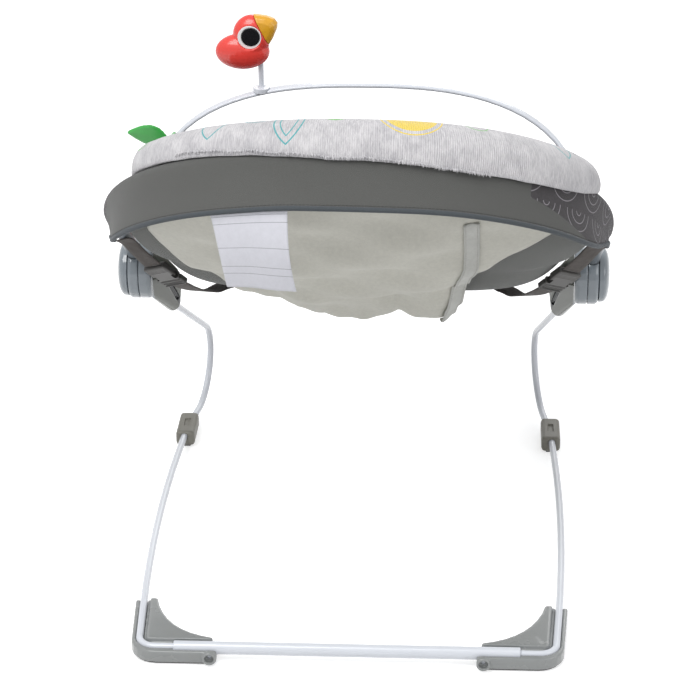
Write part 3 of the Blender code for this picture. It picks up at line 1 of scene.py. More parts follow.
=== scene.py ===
import math

import bmesh
import bpy
import numpy as np
from mathutils import Matrix, Vector


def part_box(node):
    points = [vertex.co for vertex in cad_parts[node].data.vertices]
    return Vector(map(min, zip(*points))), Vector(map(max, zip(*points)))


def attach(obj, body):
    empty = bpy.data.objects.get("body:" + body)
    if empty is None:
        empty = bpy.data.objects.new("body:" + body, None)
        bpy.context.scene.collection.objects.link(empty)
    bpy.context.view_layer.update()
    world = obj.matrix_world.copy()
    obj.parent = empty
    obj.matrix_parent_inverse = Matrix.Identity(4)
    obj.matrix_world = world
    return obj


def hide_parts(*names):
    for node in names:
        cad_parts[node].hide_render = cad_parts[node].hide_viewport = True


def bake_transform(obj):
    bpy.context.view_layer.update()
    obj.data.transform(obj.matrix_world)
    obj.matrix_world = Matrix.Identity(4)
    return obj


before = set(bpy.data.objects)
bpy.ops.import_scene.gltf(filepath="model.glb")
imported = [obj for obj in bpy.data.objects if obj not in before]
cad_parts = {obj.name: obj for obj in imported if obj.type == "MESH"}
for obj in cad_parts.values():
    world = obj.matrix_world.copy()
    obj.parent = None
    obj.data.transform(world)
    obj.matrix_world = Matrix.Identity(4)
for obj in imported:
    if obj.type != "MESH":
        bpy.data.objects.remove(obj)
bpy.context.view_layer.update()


# The room
# A pale floor under the bouncer, a white surround that only the camera and reflections see,
# one large soft lamp over the head end and two weaker ones, from the right and from the front.

FLOOR_HALF = 6.0
FLOOR_Z = -0.0003  # a hair below the soles
FLOOR_GREY = (0.80, 0.80, 0.80, 1.0)
FLOOR_GLOW = 0.62
WHITE = (1.0, 1.0, 1.0, 1.0)
SKY_COLOUR = (0.97, 0.98, 1.0, 1.0)
SKY_STRENGTH = 0.52
SEEN_IN_GLOSS = 0.75  # how much of the white surround reflections show
LAMP_AIM = (0.0, 0.0, 0.25)
LAMPS = (  # name, place, size and power
    ("overhead_softbox", (-0.7, -0.9, 2.1), 1.3, 34.0),
    ("right_softbox", (1.9, -1.1, 1.1), 1.0, 9.0),
    ("front_softbox", (0.3, 2.4, 1.6), 1.4, 12.0),
)
REAR_AXIS_Y = -0.28965  # the rear cross tube's axis, from which the base's lengths are counted
LENS_PIXELS = 2500.0
PHOTO_PIXELS = 700.0
SENSOR_MM = 36.0
CAMERA_DROP = math.radians(24.51)
CAMERA_TURN = math.radians(3.08)
CAMERA_ROLL = math.radians(-0.42)
CAMERA_AWAY = 2.275
CAMERA_ASIDE = -0.0052
CAMERA_LOWER = -0.2738
CAMERA_MARK_Z = 0.012  # height of the point over the rear axis that the camera is placed from


def add(tree, kind, wires=None, **settings):
    """Adds a node, wires or sets its inputs, and gives the node back."""
    made = tree.nodes.new(kind)
    for setting, value in settings.items():
        setattr(made, setting, value)
    for socket, value in (wires or {}).items():
        if isinstance(value, bpy.types.NodeSocket):
            tree.links.new(value, made.inputs[socket])
        else:
            made.inputs[socket].default_value = value
    return made


def mixed(tree, factor, low, high):
    """A colour between two, each a colour or a socket."""
    made = add(tree, "ShaderNodeMix", {0: factor}, data_type="RGBA")
    for socket, value in ((6, low), (7, high)):
        if isinstance(value, bpy.types.NodeSocket):
            tree.links.new(value, made.inputs[socket])
        else:
            made.inputs[socket].default_value = (*value[:3], 1.0)
    return made.outputs[2]


def reckon(tree, operation, first, second=0.0, third=0.0):
    """One step of arithmetic on numbers or sockets."""
    return add(tree, "ShaderNodeMath", {0: first, 1: second, 2: third}, operation=operation).outputs[0]


def floor_surface():
    """Pale floor: the camera sees it close to white, with the bouncer's shadow."""
    made = bpy.data.materials.new("pale_floor")
    made.use_nodes = True
    tree = made.node_tree
    tree.nodes.clear()
    path = add(tree, "ShaderNodeLightPath")
    seen = reckon(tree, "MAXIMUM", path.outputs["Is Camera Ray"], path.outputs["Is Glossy Ray"])
    lit = add(tree, "ShaderNodeBsdfDiffuse", {"Color": FLOOR_GREY})
    glow = add(tree, "ShaderNodeEmission", {"Color": WHITE, "Strength": FLOOR_GLOW})
    both = add(tree, "ShaderNodeAddShader", {0: lit.outputs[0], 1: glow.outputs[0]})
    chosen = add(tree, "ShaderNodeMixShader", {0: seen, 1: lit.outputs[0], 2: both.outputs[0]})
    add(tree, "ShaderNodeOutputMaterial", {"Surface": chosen.outputs[0]})
    return made


floor_mesh = bpy.data.meshes.new("floor")
floor_corners = [(x * FLOOR_HALF, y * FLOOR_HALF, FLOOR_Z) for x, y in ((-1, -1), (1, -1), (1, 1), (-1, 1))]
floor_mesh.from_pydata(floor_corners, [], [(0, 1, 2, 3)])
floor_mesh.materials.append(floor_surface())
floor = bpy.data.objects.new("floor", floor_mesh)
bpy.context.scene.collection.objects.link(floor)

room = bpy.data.worlds.new("room")
bpy.context.scene.world = room
room.use_nodes = True
room_tree = room.node_tree
room_tree.nodes.clear()
room_path = add(room_tree, "ShaderNodeLightPath")
room_gloss = reckon(room_tree, "MULTIPLY", room_path.outputs["Is Glossy Ray"], SEEN_IN_GLOSS)
room_seen = reckon(room_tree, "MAXIMUM", room_path.outputs["Is Camera Ray"], room_gloss)
room_light = add(room_tree, "ShaderNodeBackground", {"Color": SKY_COLOUR, "Strength": SKY_STRENGTH})
room_white = add(room_tree, "ShaderNodeBackground", {"Color": WHITE, "Strength": 1.0})
room_mix = add(room_tree, "ShaderNodeMixShader",
               {0: room_seen, 1: room_light.outputs[0], 2: room_white.outputs[0]})
add(room_tree, "ShaderNodeOutputWorld", {"Surface": room_mix.outputs[0]})

for lamp_name, place, size, power in LAMPS:
    lamp_data = bpy.data.lights.new(lamp_name, "AREA")
    lamp_data.size = size
    lamp_data.energy = power
    lamp = bpy.data.objects.new(lamp_name, lamp_data)
    lamp.location = place
    lamp.rotation_euler = (Vector(LAMP_AIM) - Vector(place)).to_track_quat("-Z", "Y").to_euler()
    bpy.context.scene.collection.objects.link(lamp)

ahead = Vector((
    -math.sin(CAMERA_TURN) * math.cos(CAMERA_DROP),
    math.cos(CAMERA_TURN) * math.cos(CAMERA_DROP),
    -math.sin(CAMERA_DROP),
))
level = Vector((math.cos(CAMERA_TURN), math.sin(CAMERA_TURN), 0.0))
above = level.cross(ahead)
camera_data = bpy.data.cameras.new("camera")
camera_data.sensor_width = SENSOR_MM
camera_data.lens = LENS_PIXELS / PHOTO_PIXELS * SENSOR_MM
camera = bpy.data.objects.new("camera", camera_data)
bpy.context.scene.collection.objects.link(camera)
turned_right = level * math.cos(CAMERA_ROLL) + above * math.sin(CAMERA_ROLL)
turned_up = above * math.cos(CAMERA_ROLL) - level * math.sin(CAMERA_ROLL)
stand = Matrix((turned_right, turned_up, -ahead)).transposed().to_4x4()
mark = Vector((0, REAR_AXIS_Y, CAMERA_MARK_Z))
stand.translation = mark - level * CAMERA_ASIDE - above * CAMERA_LOWER - ahead * CAMERA_AWAY
camera.matrix_world = stand
bpy.context.scene.camera = camera
bpy.context.scene.view_settings.view_transform = "Standard"


# Seat frame tubes
# Two bent steel tubes of 14 mm, powder-coated blue-grey: one round the head end and one round
# the foot end. Both plug into the hubs. Sleeves of the fabric borders run along them.

TUBE_RADIUS = 0.0070
TUBE_COLOUR = (0.165, 0.185, 0.205)
HUB_Y = 0.06535
HUB_Z = 0.238
BACK_START = math.radians(57)
BACK_ANGLE = math.radians(36)
BACK_BEND = 0.100
FOOT_ANGLE = math.radians(12)
BACK_LENGTH = 0.346
FOOT_LENGTH = 0.228
SEAT_HALF_WIDTH = 0.233
WIDEST_AT = 0.115
HEAD_SQUARE = 2.25
FOOT_SQUARE = 2.2
TUBE_IN_HUB = 0.013
TUBE_FIRST_STEP = 0.002  # least run from the tube's end to the loop's next station
TUBE_SIDES = 28
SIDE_STEPS = 40  # along the back tube's bend
LOOP_SAMPLES = 1200
HALF_STEPS = 96  # stations on half the loop
HAIR = 1e-6


def between(a, b, t):
    """The value at share t of the way from a to b."""
    return a + (b - a) * t


def eased(t):
    """0 below 0, 1 above 1, and a soft rise from one to the other."""
    t = min(max(t, 0.0), 1.0)
    return t * t * (3 - 2 * t)


def slope_at(q):
    """The frame's climb at q, which runs along the frame's side view from the hub's axis to the head."""
    return -FOOT_ANGLE if q < 0 else between(BACK_START, BACK_ANGLE, eased(q / BACK_BEND))


def side_view(q):
    """The frame's (Y, Z) at q."""
    if q < 0:
        return HUB_Y - q * math.cos(FOOT_ANGLE), HUB_Z - q * math.sin(FOOT_ANGLE)
    bend = min(q, BACK_BEND)
    slopes = [slope_at(bend * (i + 0.5) / SIDE_STEPS) for i in range(SIDE_STEPS)]
    inward = sum(math.cos(a) for a in slopes) * bend / SIDE_STEPS
    rise = sum(math.sin(a) for a in slopes) * bend / SIDE_STEPS
    beyond = q - bend
    return HUB_Y - inward - math.cos(BACK_ANGLE) * beyond, HUB_Z + rise + math.sin(BACK_ANGLE) * beyond


def headward(q):
    """Direction along the frame towards the head at q."""
    return Vector((0, -math.cos(slope_at(q)), math.sin(slope_at(q))))


def upward(q):
    """Direction square off the frame's plane at q."""
    return Vector((0, math.sin(slope_at(q)), math.cos(slope_at(q))))


def on_frame(x, q):
    """The point at (x, q) in the plane of the frame's tubes."""
    y, z = side_view(q)
    return Vector((x, y, z))


def frame_end(headwards):
    """The power and length of the curve that the head end or the foot end follows."""
    return (HEAD_SQUARE, BACK_LENGTH - WIDEST_AT) if headwards else (FOOT_SQUARE, FOOT_LENGTH + WIDEST_AT)


def loop_point(turn):
    """(x, q) on the frame's loop. A quarter turn is the middle of the head end."""
    c, s = math.cos(turn), math.sin(turn)
    power, reach = frame_end(s >= 0)
    x = SEAT_HALF_WIDTH * math.copysign(abs(c) ** (2 / power), c)
    return Vector((x, WIDEST_AT + reach * math.copysign(abs(s) ** (2 / power), s)))


def half_width(q):
    """Half the distance between the two sides of the frame at q."""
    power, reach = frame_end(q >= WIDEST_AT)
    return SEAT_HALF_WIDTH * (1 - min(abs(q - WIDEST_AT) / reach, 1.0) ** power) ** (1 / power)


def evenly(route, steps):
    """The same route with its points at equal distances."""
    marks = [0.0]
    for a, b in zip(route, route[1:]):
        marks.append(marks[-1] + (b - a).length)
    found, k = [], 0
    for i in range(steps + 1):
        wanted = marks[-1] * i / steps
        while k < len(marks) - 2 and marks[k + 1] < wanted:
            k += 1
        span = marks[k + 1] - marks[k]
        found.append(between(route[k], route[k + 1], (wanted - marks[k]) / span if span else 0.0))
    return found


def loop_stations():
    """Equal steps round the loop from the foot end: (x, q), the outward direction, and the distance along."""
    right = [loop_point(math.pi * (i / LOOP_SAMPLES - 0.5)) for i in range(LOOP_SAMPLES + 1)]
    half = evenly(right, HALF_STEPS)
    half[0].x = half[-1].x = 0.0
    places = half + [Vector((-p.x, p.y)) for p in reversed(half[1:-1])]
    step = (half[1] - half[0]).length
    found = []
    for i, place in enumerate(places):
        along = (places[(i + 1) % len(places)] - places[i - 1]).normalized()
        found.append((place, Vector((along.y, -along.x)), (i - HALF_STEPS) * step))
    return found


stations = loop_stations()
station_step = stations[1][2] - stations[0][2]


def painted(mesh, *materials):
    """Leaves a mesh with these materials alone."""
    mesh.materials.clear()
    for material in materials:
        mesh.materials.append(material)


def shown(name, mesh, *materials):
    """A new object for a finished mesh."""
    made = bpy.data.objects.new(name, mesh)
    bpy.context.scene.collection.objects.link(made)
    if materials:
        painted(mesh, *materials)
    return made


def settled(piece):
    """Makes a piece's modifiers part of its mesh."""
    graph = bpy.context.evaluated_depsgraph_get()
    mesh = bpy.data.meshes.new_from_object(piece.evaluated_get(graph))
    piece.modifiers.clear()
    piece.data = mesh
    mesh.name = piece.name
    return piece


def fitted(piece, body, slot, *nodes):
    """Hangs a piece on its CAD body in place of CAD nodes."""
    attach(piece, body)
    if nodes:
        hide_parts(*nodes)
    return piece


def sockets_of(tree, **kinds):
    """Gives a geometry tree its geometry sockets and its named inputs."""
    tree.interface.new_socket("Geometry", in_out="INPUT", socket_type="NodeSocketGeometry")
    tree.interface.new_socket("Geometry", in_out="OUTPUT", socket_type="NodeSocketGeometry")
    for name, kind in kinds.items():
        tree.interface.new_socket(name.replace("_", " "), in_out="INPUT", socket_type=kind)
    return tree.nodes.new("NodeGroupInput"), tree.nodes.new("NodeGroupOutput")


def grown(name, tree, mesh, **values):
    """Runs a geometry tree on a mesh and keeps the result as a plain mesh object."""
    made = shown(name, mesh)
    modifier = made.modifiers.new("tree", "NODES")
    modifier.node_group = tree
    for item in tree.interface.items_tree:
        key = item.name.replace(" ", "_")
        if item.in_out == "INPUT" and key in values:
            modifier[item.identifier] = values[key]
    return settled(made)


def path_mesh(points):
    """A run of points joined by edges, for a geometry tree to follow."""
    mesh = bpy.data.meshes.new("path")
    mesh.from_pydata([tuple(p) for p in points], [(i, i + 1) for i in range(len(points) - 1)], [])
    return mesh


def bar_tree():
    """Geometry tree: a round bar along a path."""
    tree = bpy.data.node_groups.new("round_bar", "GeometryNodeTree")
    given, result = sockets_of(
        tree, Radius="NodeSocketFloat", Sides="NodeSocketInt", Finish="NodeSocketMaterial"
    )
    line = add(tree, "GeometryNodeMeshToCurve", {"Mesh": given.outputs["Geometry"]})
    ring = add(tree, "GeometryNodeCurvePrimitiveCircle",
               {"Resolution": given.outputs["Sides"], "Radius": given.outputs["Radius"]})
    skin = add(tree, "GeometryNodeCurveToMesh",
               {"Curve": line.outputs[0], "Profile Curve": ring.outputs[0], "Fill Caps": True})
    smooth = add(tree, "GeometryNodeSetShadeSmooth", {"Geometry": skin.outputs[0]})
    whole = add(tree, "GeometryNodeRealizeInstances", {"Geometry": smooth.outputs[0]})
    dressed = add(tree, "GeometryNodeSetMaterial",
                  {"Geometry": whole.outputs[0], "Material": given.outputs["Finish"]})
    tree.links.new(dressed.outputs[0], result.inputs["Geometry"])
    return tree


round_bar = bar_tree()


def blank_finish(name):
    """A material with one shader, and its tree."""
    made = bpy.data.materials.new(name)
    made.use_nodes = True
    return made, made.node_tree, made.node_tree.nodes["Principled BSDF"]


def coated(name, colour, roughness, speck=0.06, coat=0.0):
    """Painted or moulded surface: faint mottling, a fine orange peel and slightly uneven gloss."""
    made, tree, shader = blank_finish(name)
    place = add(tree, "ShaderNodeTexCoord").outputs["Object"]
    cloud = add(tree, "ShaderNodeTexNoise", {"Vector": place, "Scale": 38.0, "Detail": 4.0}).outputs[0]
    peel = add(tree, "ShaderNodeTexNoise", {"Vector": place, "Scale": 620.0, "Detail": 2.0}).outputs[0]
    dark = tuple(c * (1 - speck) for c in colour)
    light = tuple(min(c * (1 + speck), 1.0) for c in colour)
    tree.links.new(mixed(tree, cloud, dark, light), shader.inputs["Base Color"])
    rough = add(tree, "ShaderNodeMapRange",
                {"Value": cloud, "To Min": roughness * 0.8, "To Max": roughness * 1.25})
    tree.links.new(rough.outputs[0], shader.inputs["Roughness"])
    shader.inputs["Coat Weight"].default_value = coat
    bump = add(tree, "ShaderNodeBump", {"Height": peel, "Strength": 0.10, "Distance": 0.0004})
    tree.links.new(bump.outputs[0], shader.inputs["Normal"])
    return made


tube_paint = coated("blue_grey_powder_coat", TUBE_COLOUR, roughness=0.34)

for tube_name, sign in (("back_frame_tube", 1), ("foot_frame_tube", -1)):
    tube_start = Vector((half_width(sign * TUBE_IN_HUB), sign * TUBE_IN_HUB))
    from_q = TUBE_IN_HUB + TUBE_FIRST_STEP
    half = [place for place, _, _ in stations if place.x > -HAIR and sign * place.y > from_q]
    half.sort(key=lambda place: sign * place.y)
    half.insert(0, tube_start)
    other_half = [Vector((-p.x, p.y)) for p in reversed(half[:-1])]
    tube_line = path_mesh([on_frame(p.x, p.y) for p in half + other_half])
    tube = grown("seat_" + tube_name, round_bar, tube_line, Radius=TUBE_RADIUS, Sides=TUBE_SIDES,
                 Finish=tube_paint)
    fitted(tube, "seat", "tube_enamel", tube_name)


# Spring wires and rear cross tube
# One 7 mm spring steel rod on each side runs from the rear tube along the floor, round the front
# bend and back up into the hub. The rods and the 12 mm tube at the rear are white enamelled.

WIRE_RADIUS = 0.0035
WIRE_SIDES = 20
WIRE_Z = 0.0125
WIRE_START_X = 0.113  # inside the cross tube
WIRE_CORNER_X = 0.190
WIRE_WAIST_X = 0.2045  # where the bowed floor run's two straight halves would meet
WIRE_ARCH = 0.005
WIRE_FRONT_X = 0.195
WIRE_FRONT_Y = 0.452
WIRE_REACH_Y = 0.545
WIRE_NARROW = 0.035
WIRE_NARROW_EASE = 2.4
WIRE_EXIT = Vector((0.1975, 0.387, 0.1865))  # where the rod enters the hub's fin
WIRE_IN_FIN = 0.013
CORNER_BEND = 0.016
BOW_BEND = 2.8
FRONT_BEND = 0.5
SPRING_BEND = 0.048
BEND_STEP = math.radians(3)
LEAST_BEND_STEPS = 8
CROSS_RADIUS = 0.0060
CROSS_HALF = 0.158
CROSS_BORE = WIRE_RADIUS * 1.15
CROSS_CHAMFER = 0.0006
CROSS_SIDES = 40
ENAMEL_COLOUR = (0.68, 0.705, 0.755)


def filleted(corners, radii):
    """A route along straight runs whose corners are arcs of the given radii."""
    route = [corners[0]]
    for before, corner, after, radius in zip(corners, corners[1:], corners[2:], radii):
        back, forth = (before - corner).normalized(), (after - corner).normalized()
        turn = math.pi - back.angle(forth)
        reach = radius * math.tan(turn / 2)
        start, end = corner + back * reach, corner + forth * reach
        centre = corner + (back + forth).normalized() * (radius / math.cos(turn / 2))
        axis = (start - centre).cross(end - centre).normalized()
        steps = max(LEAST_BEND_STEPS, math.ceil(turn / BEND_STEP))
        for i in range(steps + 1):
            route.append(centre + Matrix.Rotation(turn * i / steps, 3, axis) @ (start - centre))
    route.append(corners[-1])
    return route


def wire_route():
    """The right-hand rod's axis, from inside the cross tube to inside the hub."""
    centre_y, centre_z = WIRE_REACH_Y - SPRING_BEND, WIRE_Z + SPRING_BEND
    away_y, away_z = centre_y - WIRE_EXIT.y, WIRE_EXIT.z - centre_z
    rise = math.atan2(away_z, away_y) - math.asin(SPRING_BEND / math.hypot(away_y, away_z))
    apex_y = WIRE_EXIT.y + (WIRE_EXIT.z - WIRE_Z) / math.tan(rise)
    lean = WIRE_NARROW * (apex_y - WIRE_FRONT_Y) / (WIRE_REACH_Y - WIRE_FRONT_Y) / WIRE_NARROW_EASE
    apex = Vector((WIRE_FRONT_X - lean, apex_y, WIRE_Z))
    corners = [
        Vector((WIRE_START_X, 0, WIRE_Z)),
        Vector((WIRE_CORNER_X, 0, WIRE_Z)),
        Vector((WIRE_WAIST_X, WIRE_FRONT_Y / 2, WIRE_Z + WIRE_ARCH)),
        Vector((WIRE_FRONT_X, WIRE_FRONT_Y, WIRE_Z)),
        apex,
        WIRE_EXIT + (WIRE_EXIT - apex).normalized() * WIRE_IN_FIN,
    ]
    route = filleted(corners, (CORNER_BEND, BOW_BEND, FRONT_BEND, SPRING_BEND))
    return [p + Vector((0, REAR_AXIS_Y, 0)) for p in route]


white_enamel = coated("white_enamel", ENAMEL_COLOUR, roughness=0.24, speck=0.03, coat=0.3)
wire_axis = wire_route()
for side_name, sign in (("left", -1), ("right", 1)):
    wire_line = path_mesh([Vector((p.x * sign, p.y, p.z)) for p in wire_axis])
    wire = grown(side_name + "_spring_steel_wire", round_bar, wire_line, Radius=WIRE_RADIUS, Sides=WIRE_SIDES,
                 Finish=white_enamel)
    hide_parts(side_name + "_floor_wire", side_name + "_spring_wire")
    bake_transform(wire)


def healed(mesh):
    """Merges doubled points and turns every face outwards."""
    shape = bmesh.new()
    shape.from_mesh(mesh)
    bmesh.ops.remove_doubles(shape, verts=shape.verts, dist=HAIR)
    bmesh.ops.recalc_face_normals(shape, faces=shape.faces)
    shape.to_mesh(mesh)
    shape.free()


def softened(mesh, degrees):
    """Smooth shading that keeps the edges past an angle sharp."""
    mesh.shade_smooth()
    mesh.set_sharp_from_angle(angle=math.radians(degrees))


def spun(name, profile, centre, material, sides, sense=1):
    """A solid of revolution about X. profile is (reach along X, radius), closed on the axis at both ends."""
    points, faces = [], []
    rows = len(profile)
    for reach, radius in profile:
        for k in range(sides):
            turn = math.tau * k / sides
            points.append(centre + Vector((reach * sense, radius * math.cos(turn), radius * math.sin(turn))))
    for i in range(rows - 1):
        for k in range(sides):
            n = (k + 1) % sides
            faces.append((i * sides + k, i * sides + n, (i + 1) * sides + n, (i + 1) * sides + k))
    faces += [tuple(range(sides)), tuple((rows - 1) * sides + k for k in range(sides))]
    mesh = bpy.data.meshes.new(name)
    mesh.from_pydata([tuple(p) for p in points], [], faces)
    healed(mesh)
    softened(mesh, 40)
    return shown(name, mesh, material)


cross_profile = [
    (-CROSS_HALF, CROSS_BORE),
    (-CROSS_HALF, CROSS_RADIUS - CROSS_CHAMFER),
    (-CROSS_HALF + CROSS_CHAMFER, CROSS_RADIUS),
    (CROSS_HALF - CROSS_CHAMFER, CROSS_RADIUS),
    (CROSS_HALF, CROSS_RADIUS - CROSS_CHAMFER),
    (CROSS_HALF, CROSS_BORE),
]
cross_centre = Vector((0, REAR_AXIS_Y, WIRE_Z))
cross_tube = spun("rear_floor_tube", cross_profile, cross_centre, white_enamel, CROSS_SIDES)
fitted(cross_tube, "base", "white_enamel", "rear_cross_tube")


# Rear corner feet
# Glossy grey injection mouldings. The wire snaps into an open channel, a web stiffens the corner,
# and a screw through the boss at the back holds the cross tube. A thin rubber sole is glued below.

FOOT_COLOUR = (0.255, 0.265, 0.262)
RUBBER_COLOUR = (0.022, 0.022, 0.023)
SCREW_COLOUR = (0.26, 0.27, 0.29)
SCREW_RADIUS = 0.0036
SCREW_HEIGHT = 0.0018
SCREW_SUNK = 0.0042  # how deep the head's seat lies in the foot
SCREW_RINGS = ((0.0, 1.0), (0.45, 1.0), (0.75, 0.92), (0.93, 0.72), (1.0, 0.45))  # shares of height and radius
SCREW_SIDES = 32
RECESS_LONG = 1.15  # the cross recess: its length and width over the head's radius, its depth over its height
RECESS_WIDE = 0.22
RECESS_DEEP = 0.9
COLLAR_RADIUS = 0.0064
COLLAR_BORE = 0.0041
COLLAR_LIP = 0.0012  # how far the collar stands out of the foot's rear face
COLLAR_ROOT = 0.0040
COLLAR_ROUND = 0.0008
COLLAR_BORE_ROUND = 0.0006
COLLAR_SIDES = 48
MOULD_MERGE = 2e-6


def copy_of(name, node):
    """A merged copy of a CAD node's mesh, as a new object."""
    shape = bmesh.new()
    shape.from_mesh(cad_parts[node].data)
    bmesh.ops.remove_doubles(shape, verts=shape.verts, dist=MOULD_MERGE)
    mesh = bpy.data.meshes.new(name)
    shape.to_mesh(mesh)
    shape.free()
    return shown(name, mesh)


def moulded(name, node, voxel, rounds, material):
    """A CAD node's shape with the soft edges and blended corners of an injection moulding."""
    piece = copy_of(name, node)
    remesh = piece.modifiers.new("skin", "REMESH")
    remesh.mode = "VOXEL"
    remesh.voxel_size = voxel
    remesh.use_smooth_shade = True
    smooth = piece.modifiers.new("soft_edges", "SMOOTH")
    smooth.factor = 0.5
    smooth.iterations = rounds
    settled(piece)
    painted(piece.data, material)
    piece.data.shade_smooth()
    return piece


foot_plastic = coated("glossy_grey_moulding", FOOT_COLOUR, roughness=0.26, speck=0.05, coat=0.35)
sole_rubber = coated("black_sole_rubber", RUBBER_COLOUR, roughness=0.75)
bright_steel = coated("screw_steel", SCREW_COLOUR, roughness=0.32)
bright_steel.node_tree.nodes["Principled BSDF"].inputs["Metallic"].default_value = 1.0


def cut_away(piece, mesh):
    """Cuts a mesh's shape out of a piece."""
    cutter = shown("cutter", mesh)
    cut = piece.modifiers.new("cut", "BOOLEAN")
    cut.operation = "DIFFERENCE"
    cut.solver = "EXACT"
    cut.object = cutter
    settled(piece)
    bpy.data.objects.remove(cutter)


def block(matrix):
    """A unit cube's mesh, sized and placed by a matrix."""
    shape = bmesh.new()
    bmesh.ops.create_cube(shape, size=1.0)
    bmesh.ops.transform(shape, matrix=matrix, verts=shape.verts)
    mesh = bpy.data.meshes.new("block")
    shape.to_mesh(mesh)
    shape.free()
    return mesh


def screw_head(name, centre, outward):
    """A pan head with a cross recess."""
    lift = outward.to_track_quat("Z", "Y").to_matrix()
    points, faces = [], []
    for high, wide in SCREW_RINGS:
        for k in range(SCREW_SIDES):
            turn = math.tau * k / SCREW_SIDES
            reach = SCREW_RADIUS * wide
            spot = Vector((reach * math.cos(turn), reach * math.sin(turn), SCREW_HEIGHT * high))
            points.append(centre + lift @ spot)
    top = (len(SCREW_RINGS) - 1) * SCREW_SIDES
    for low in range(0, top, SCREW_SIDES):
        for k in range(SCREW_SIDES):
            n = (k + 1) % SCREW_SIDES
            faces.append((low + k, low + n, low + SCREW_SIDES + n, low + SCREW_SIDES + k))
    faces += [tuple(reversed(range(SCREW_SIDES))), tuple(range(top, top + SCREW_SIDES))]
    mesh = bpy.data.meshes.new(name)
    mesh.from_pydata([tuple(p) for p in points], [], faces)
    healed(mesh)
    piece = shown(name, mesh)
    stand = Matrix.Translation(centre + outward * SCREW_HEIGHT) @ lift.to_4x4()
    long, wide = SCREW_RADIUS * RECESS_LONG, SCREW_RADIUS * RECESS_WIDE
    size = Matrix.Diagonal((long, wide, SCREW_HEIGHT * RECESS_DEEP, 1.0))
    for turn in (0.0, math.pi / 2):
        cut_away(piece, block(stand @ Matrix.Rotation(turn, 4, "Z") @ size))
    painted(piece.data, bright_steel)
    softened(piece.data, 35)
    return piece


def screw_collar(name, centre):
    """A rounded ring that stands out of the foot's rear face round its screw."""
    section = [
        (COLLAR_BORE, -COLLAR_ROOT),
        (COLLAR_RADIUS, -COLLAR_ROOT),
        (COLLAR_RADIUS, COLLAR_LIP - COLLAR_ROUND),
        (COLLAR_RADIUS - COLLAR_ROUND, COLLAR_LIP),
        (COLLAR_BORE + COLLAR_BORE_ROUND, COLLAR_LIP),
        (COLLAR_BORE, COLLAR_LIP - COLLAR_BORE_ROUND),
    ]
    points, faces = [], []
    count = len(section)
    for k in range(COLLAR_SIDES):
        turn = math.tau * k / COLLAR_SIDES
        after = (k + 1) % COLLAR_SIDES
        for j, (radius, out) in enumerate(section):
            points.append(centre + Vector((radius * math.cos(turn), -out, radius * math.sin(turn))))
            next_j = (j + 1) % count
            faces.append((k * count + j, k * count + next_j, after * count + next_j, after * count + j))
    mesh = bpy.data.meshes.new(name)
    mesh.from_pydata([tuple(p) for p in points], [], faces)
    healed(mesh)
    softened(mesh, 50)
    return shown(name, mesh, foot_plastic)


for side_name in ("left", "right"):
    foot_node = side_name + "_rear_foot"
    foot = moulded(side_name + "_rear_corner_foot", foot_node, voxel=0.0008, rounds=5, material=foot_plastic)
    fitted(foot, "base", "foot_plastic", foot_node)
    painted(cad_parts[foot_node + "_pad"].data, sole_rubber)
    low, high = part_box(foot_node + "_screw")
    seat = Vector(((low.x + high.x) / 2, low.y + SCREW_SUNK, (low.z + high.z) / 2))
    head = screw_head(foot_node + "_screw_head", seat, Vector((0, -1, 0)))
    fitted(head, "base", "screw_steel", foot_node + "_screw")
    collar = screw_collar(foot_node + "_screw_boss", Vector((seat.x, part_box(foot_node)[0].y, seat.z)))
    fitted(collar, "base", "foot_plastic")


# Front feet
# Beige-grey blocks clipped round the wires under the front bend, each with a slot in its top
# and a rubber sole.

CLIP_COLOUR = (0.195, 0.187, 0.160)

clip_plastic = coated("beige_grey_moulding", CLIP_COLOUR, roughness=0.48, speck=0.07)
for side_name in ("left", "right"):
    foot_node = side_name + "_front_foot"
    foot = moulded(side_name + "_front_clip_foot", foot_node, voxel=0.0005, rounds=4, material=clip_plastic)
    fitted(foot, "base", "clip_plastic", foot_node)
    painted(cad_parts[foot_node + "_pad"].data, sole_rubber)


# Hubs
# Three glossy blue-grey mouldings on each side: an inner shell whose fin grips the wire, an outer shell,
# and a domed cap. They close round the seat tubes' ends, held by a sunk screw. The fin is painted darker
# olive grey as painted shade, and its slot near black as painted shadow.

HUB_COLOUR = (0.200, 0.228, 0.252)
# painted shade: the fin is the shell's own plastic, painted darker olive grey for the shade it lies in
FIN_PAINTED_SHADE = (0.128, 0.136, 0.118)
# painted shadow: the near black inside the fin's slot, where the groove's shade falls
SLOT_PAINTED_SHADOW = (0.016, 0.020, 0.024)
HUB_INNER_DEPTH = 0.0130
HUB_OUTER_DEPTH = 0.0110
FIN_FROM_SHELL = 0.0004
CAP_GAP = 0.0003
CAP_HOLE = 0.002  # the closed ends' small radii
CAP_TIP = 0.0004
CAP_RADIUS = 0.0278
CAP_FOOT = 0.97  # the rim's and the dome's radii as shares of the cap's
CAP_DOME = 0.985
CAP_LEAST = 0.0001
CAP_DEPTH = 0.0112
CAP_CHAMFER = 0.0006
CAP_WALL = 0.0036  # the straight rim below the dome
CAP_POWER = 0.62  # how flat the dome is
CAP_SIDES = 96
SLOT_ENDS = ((0.0199, -0.0095, 0.0061), (0.0334, 0.0247, -0.0433))  # in from, ahead of and above the hub
SLOT_SHADOW_REACH = 0.0027


def vector_step(tree, operation, first, second=(0.0, 0.0, 0.0)):
    """One step of arithmetic on vectors; a length or a dot product comes from the second output."""
    return add(tree, "ShaderNodeVectorMath", {0: first, 1: second}, operation=operation).outputs


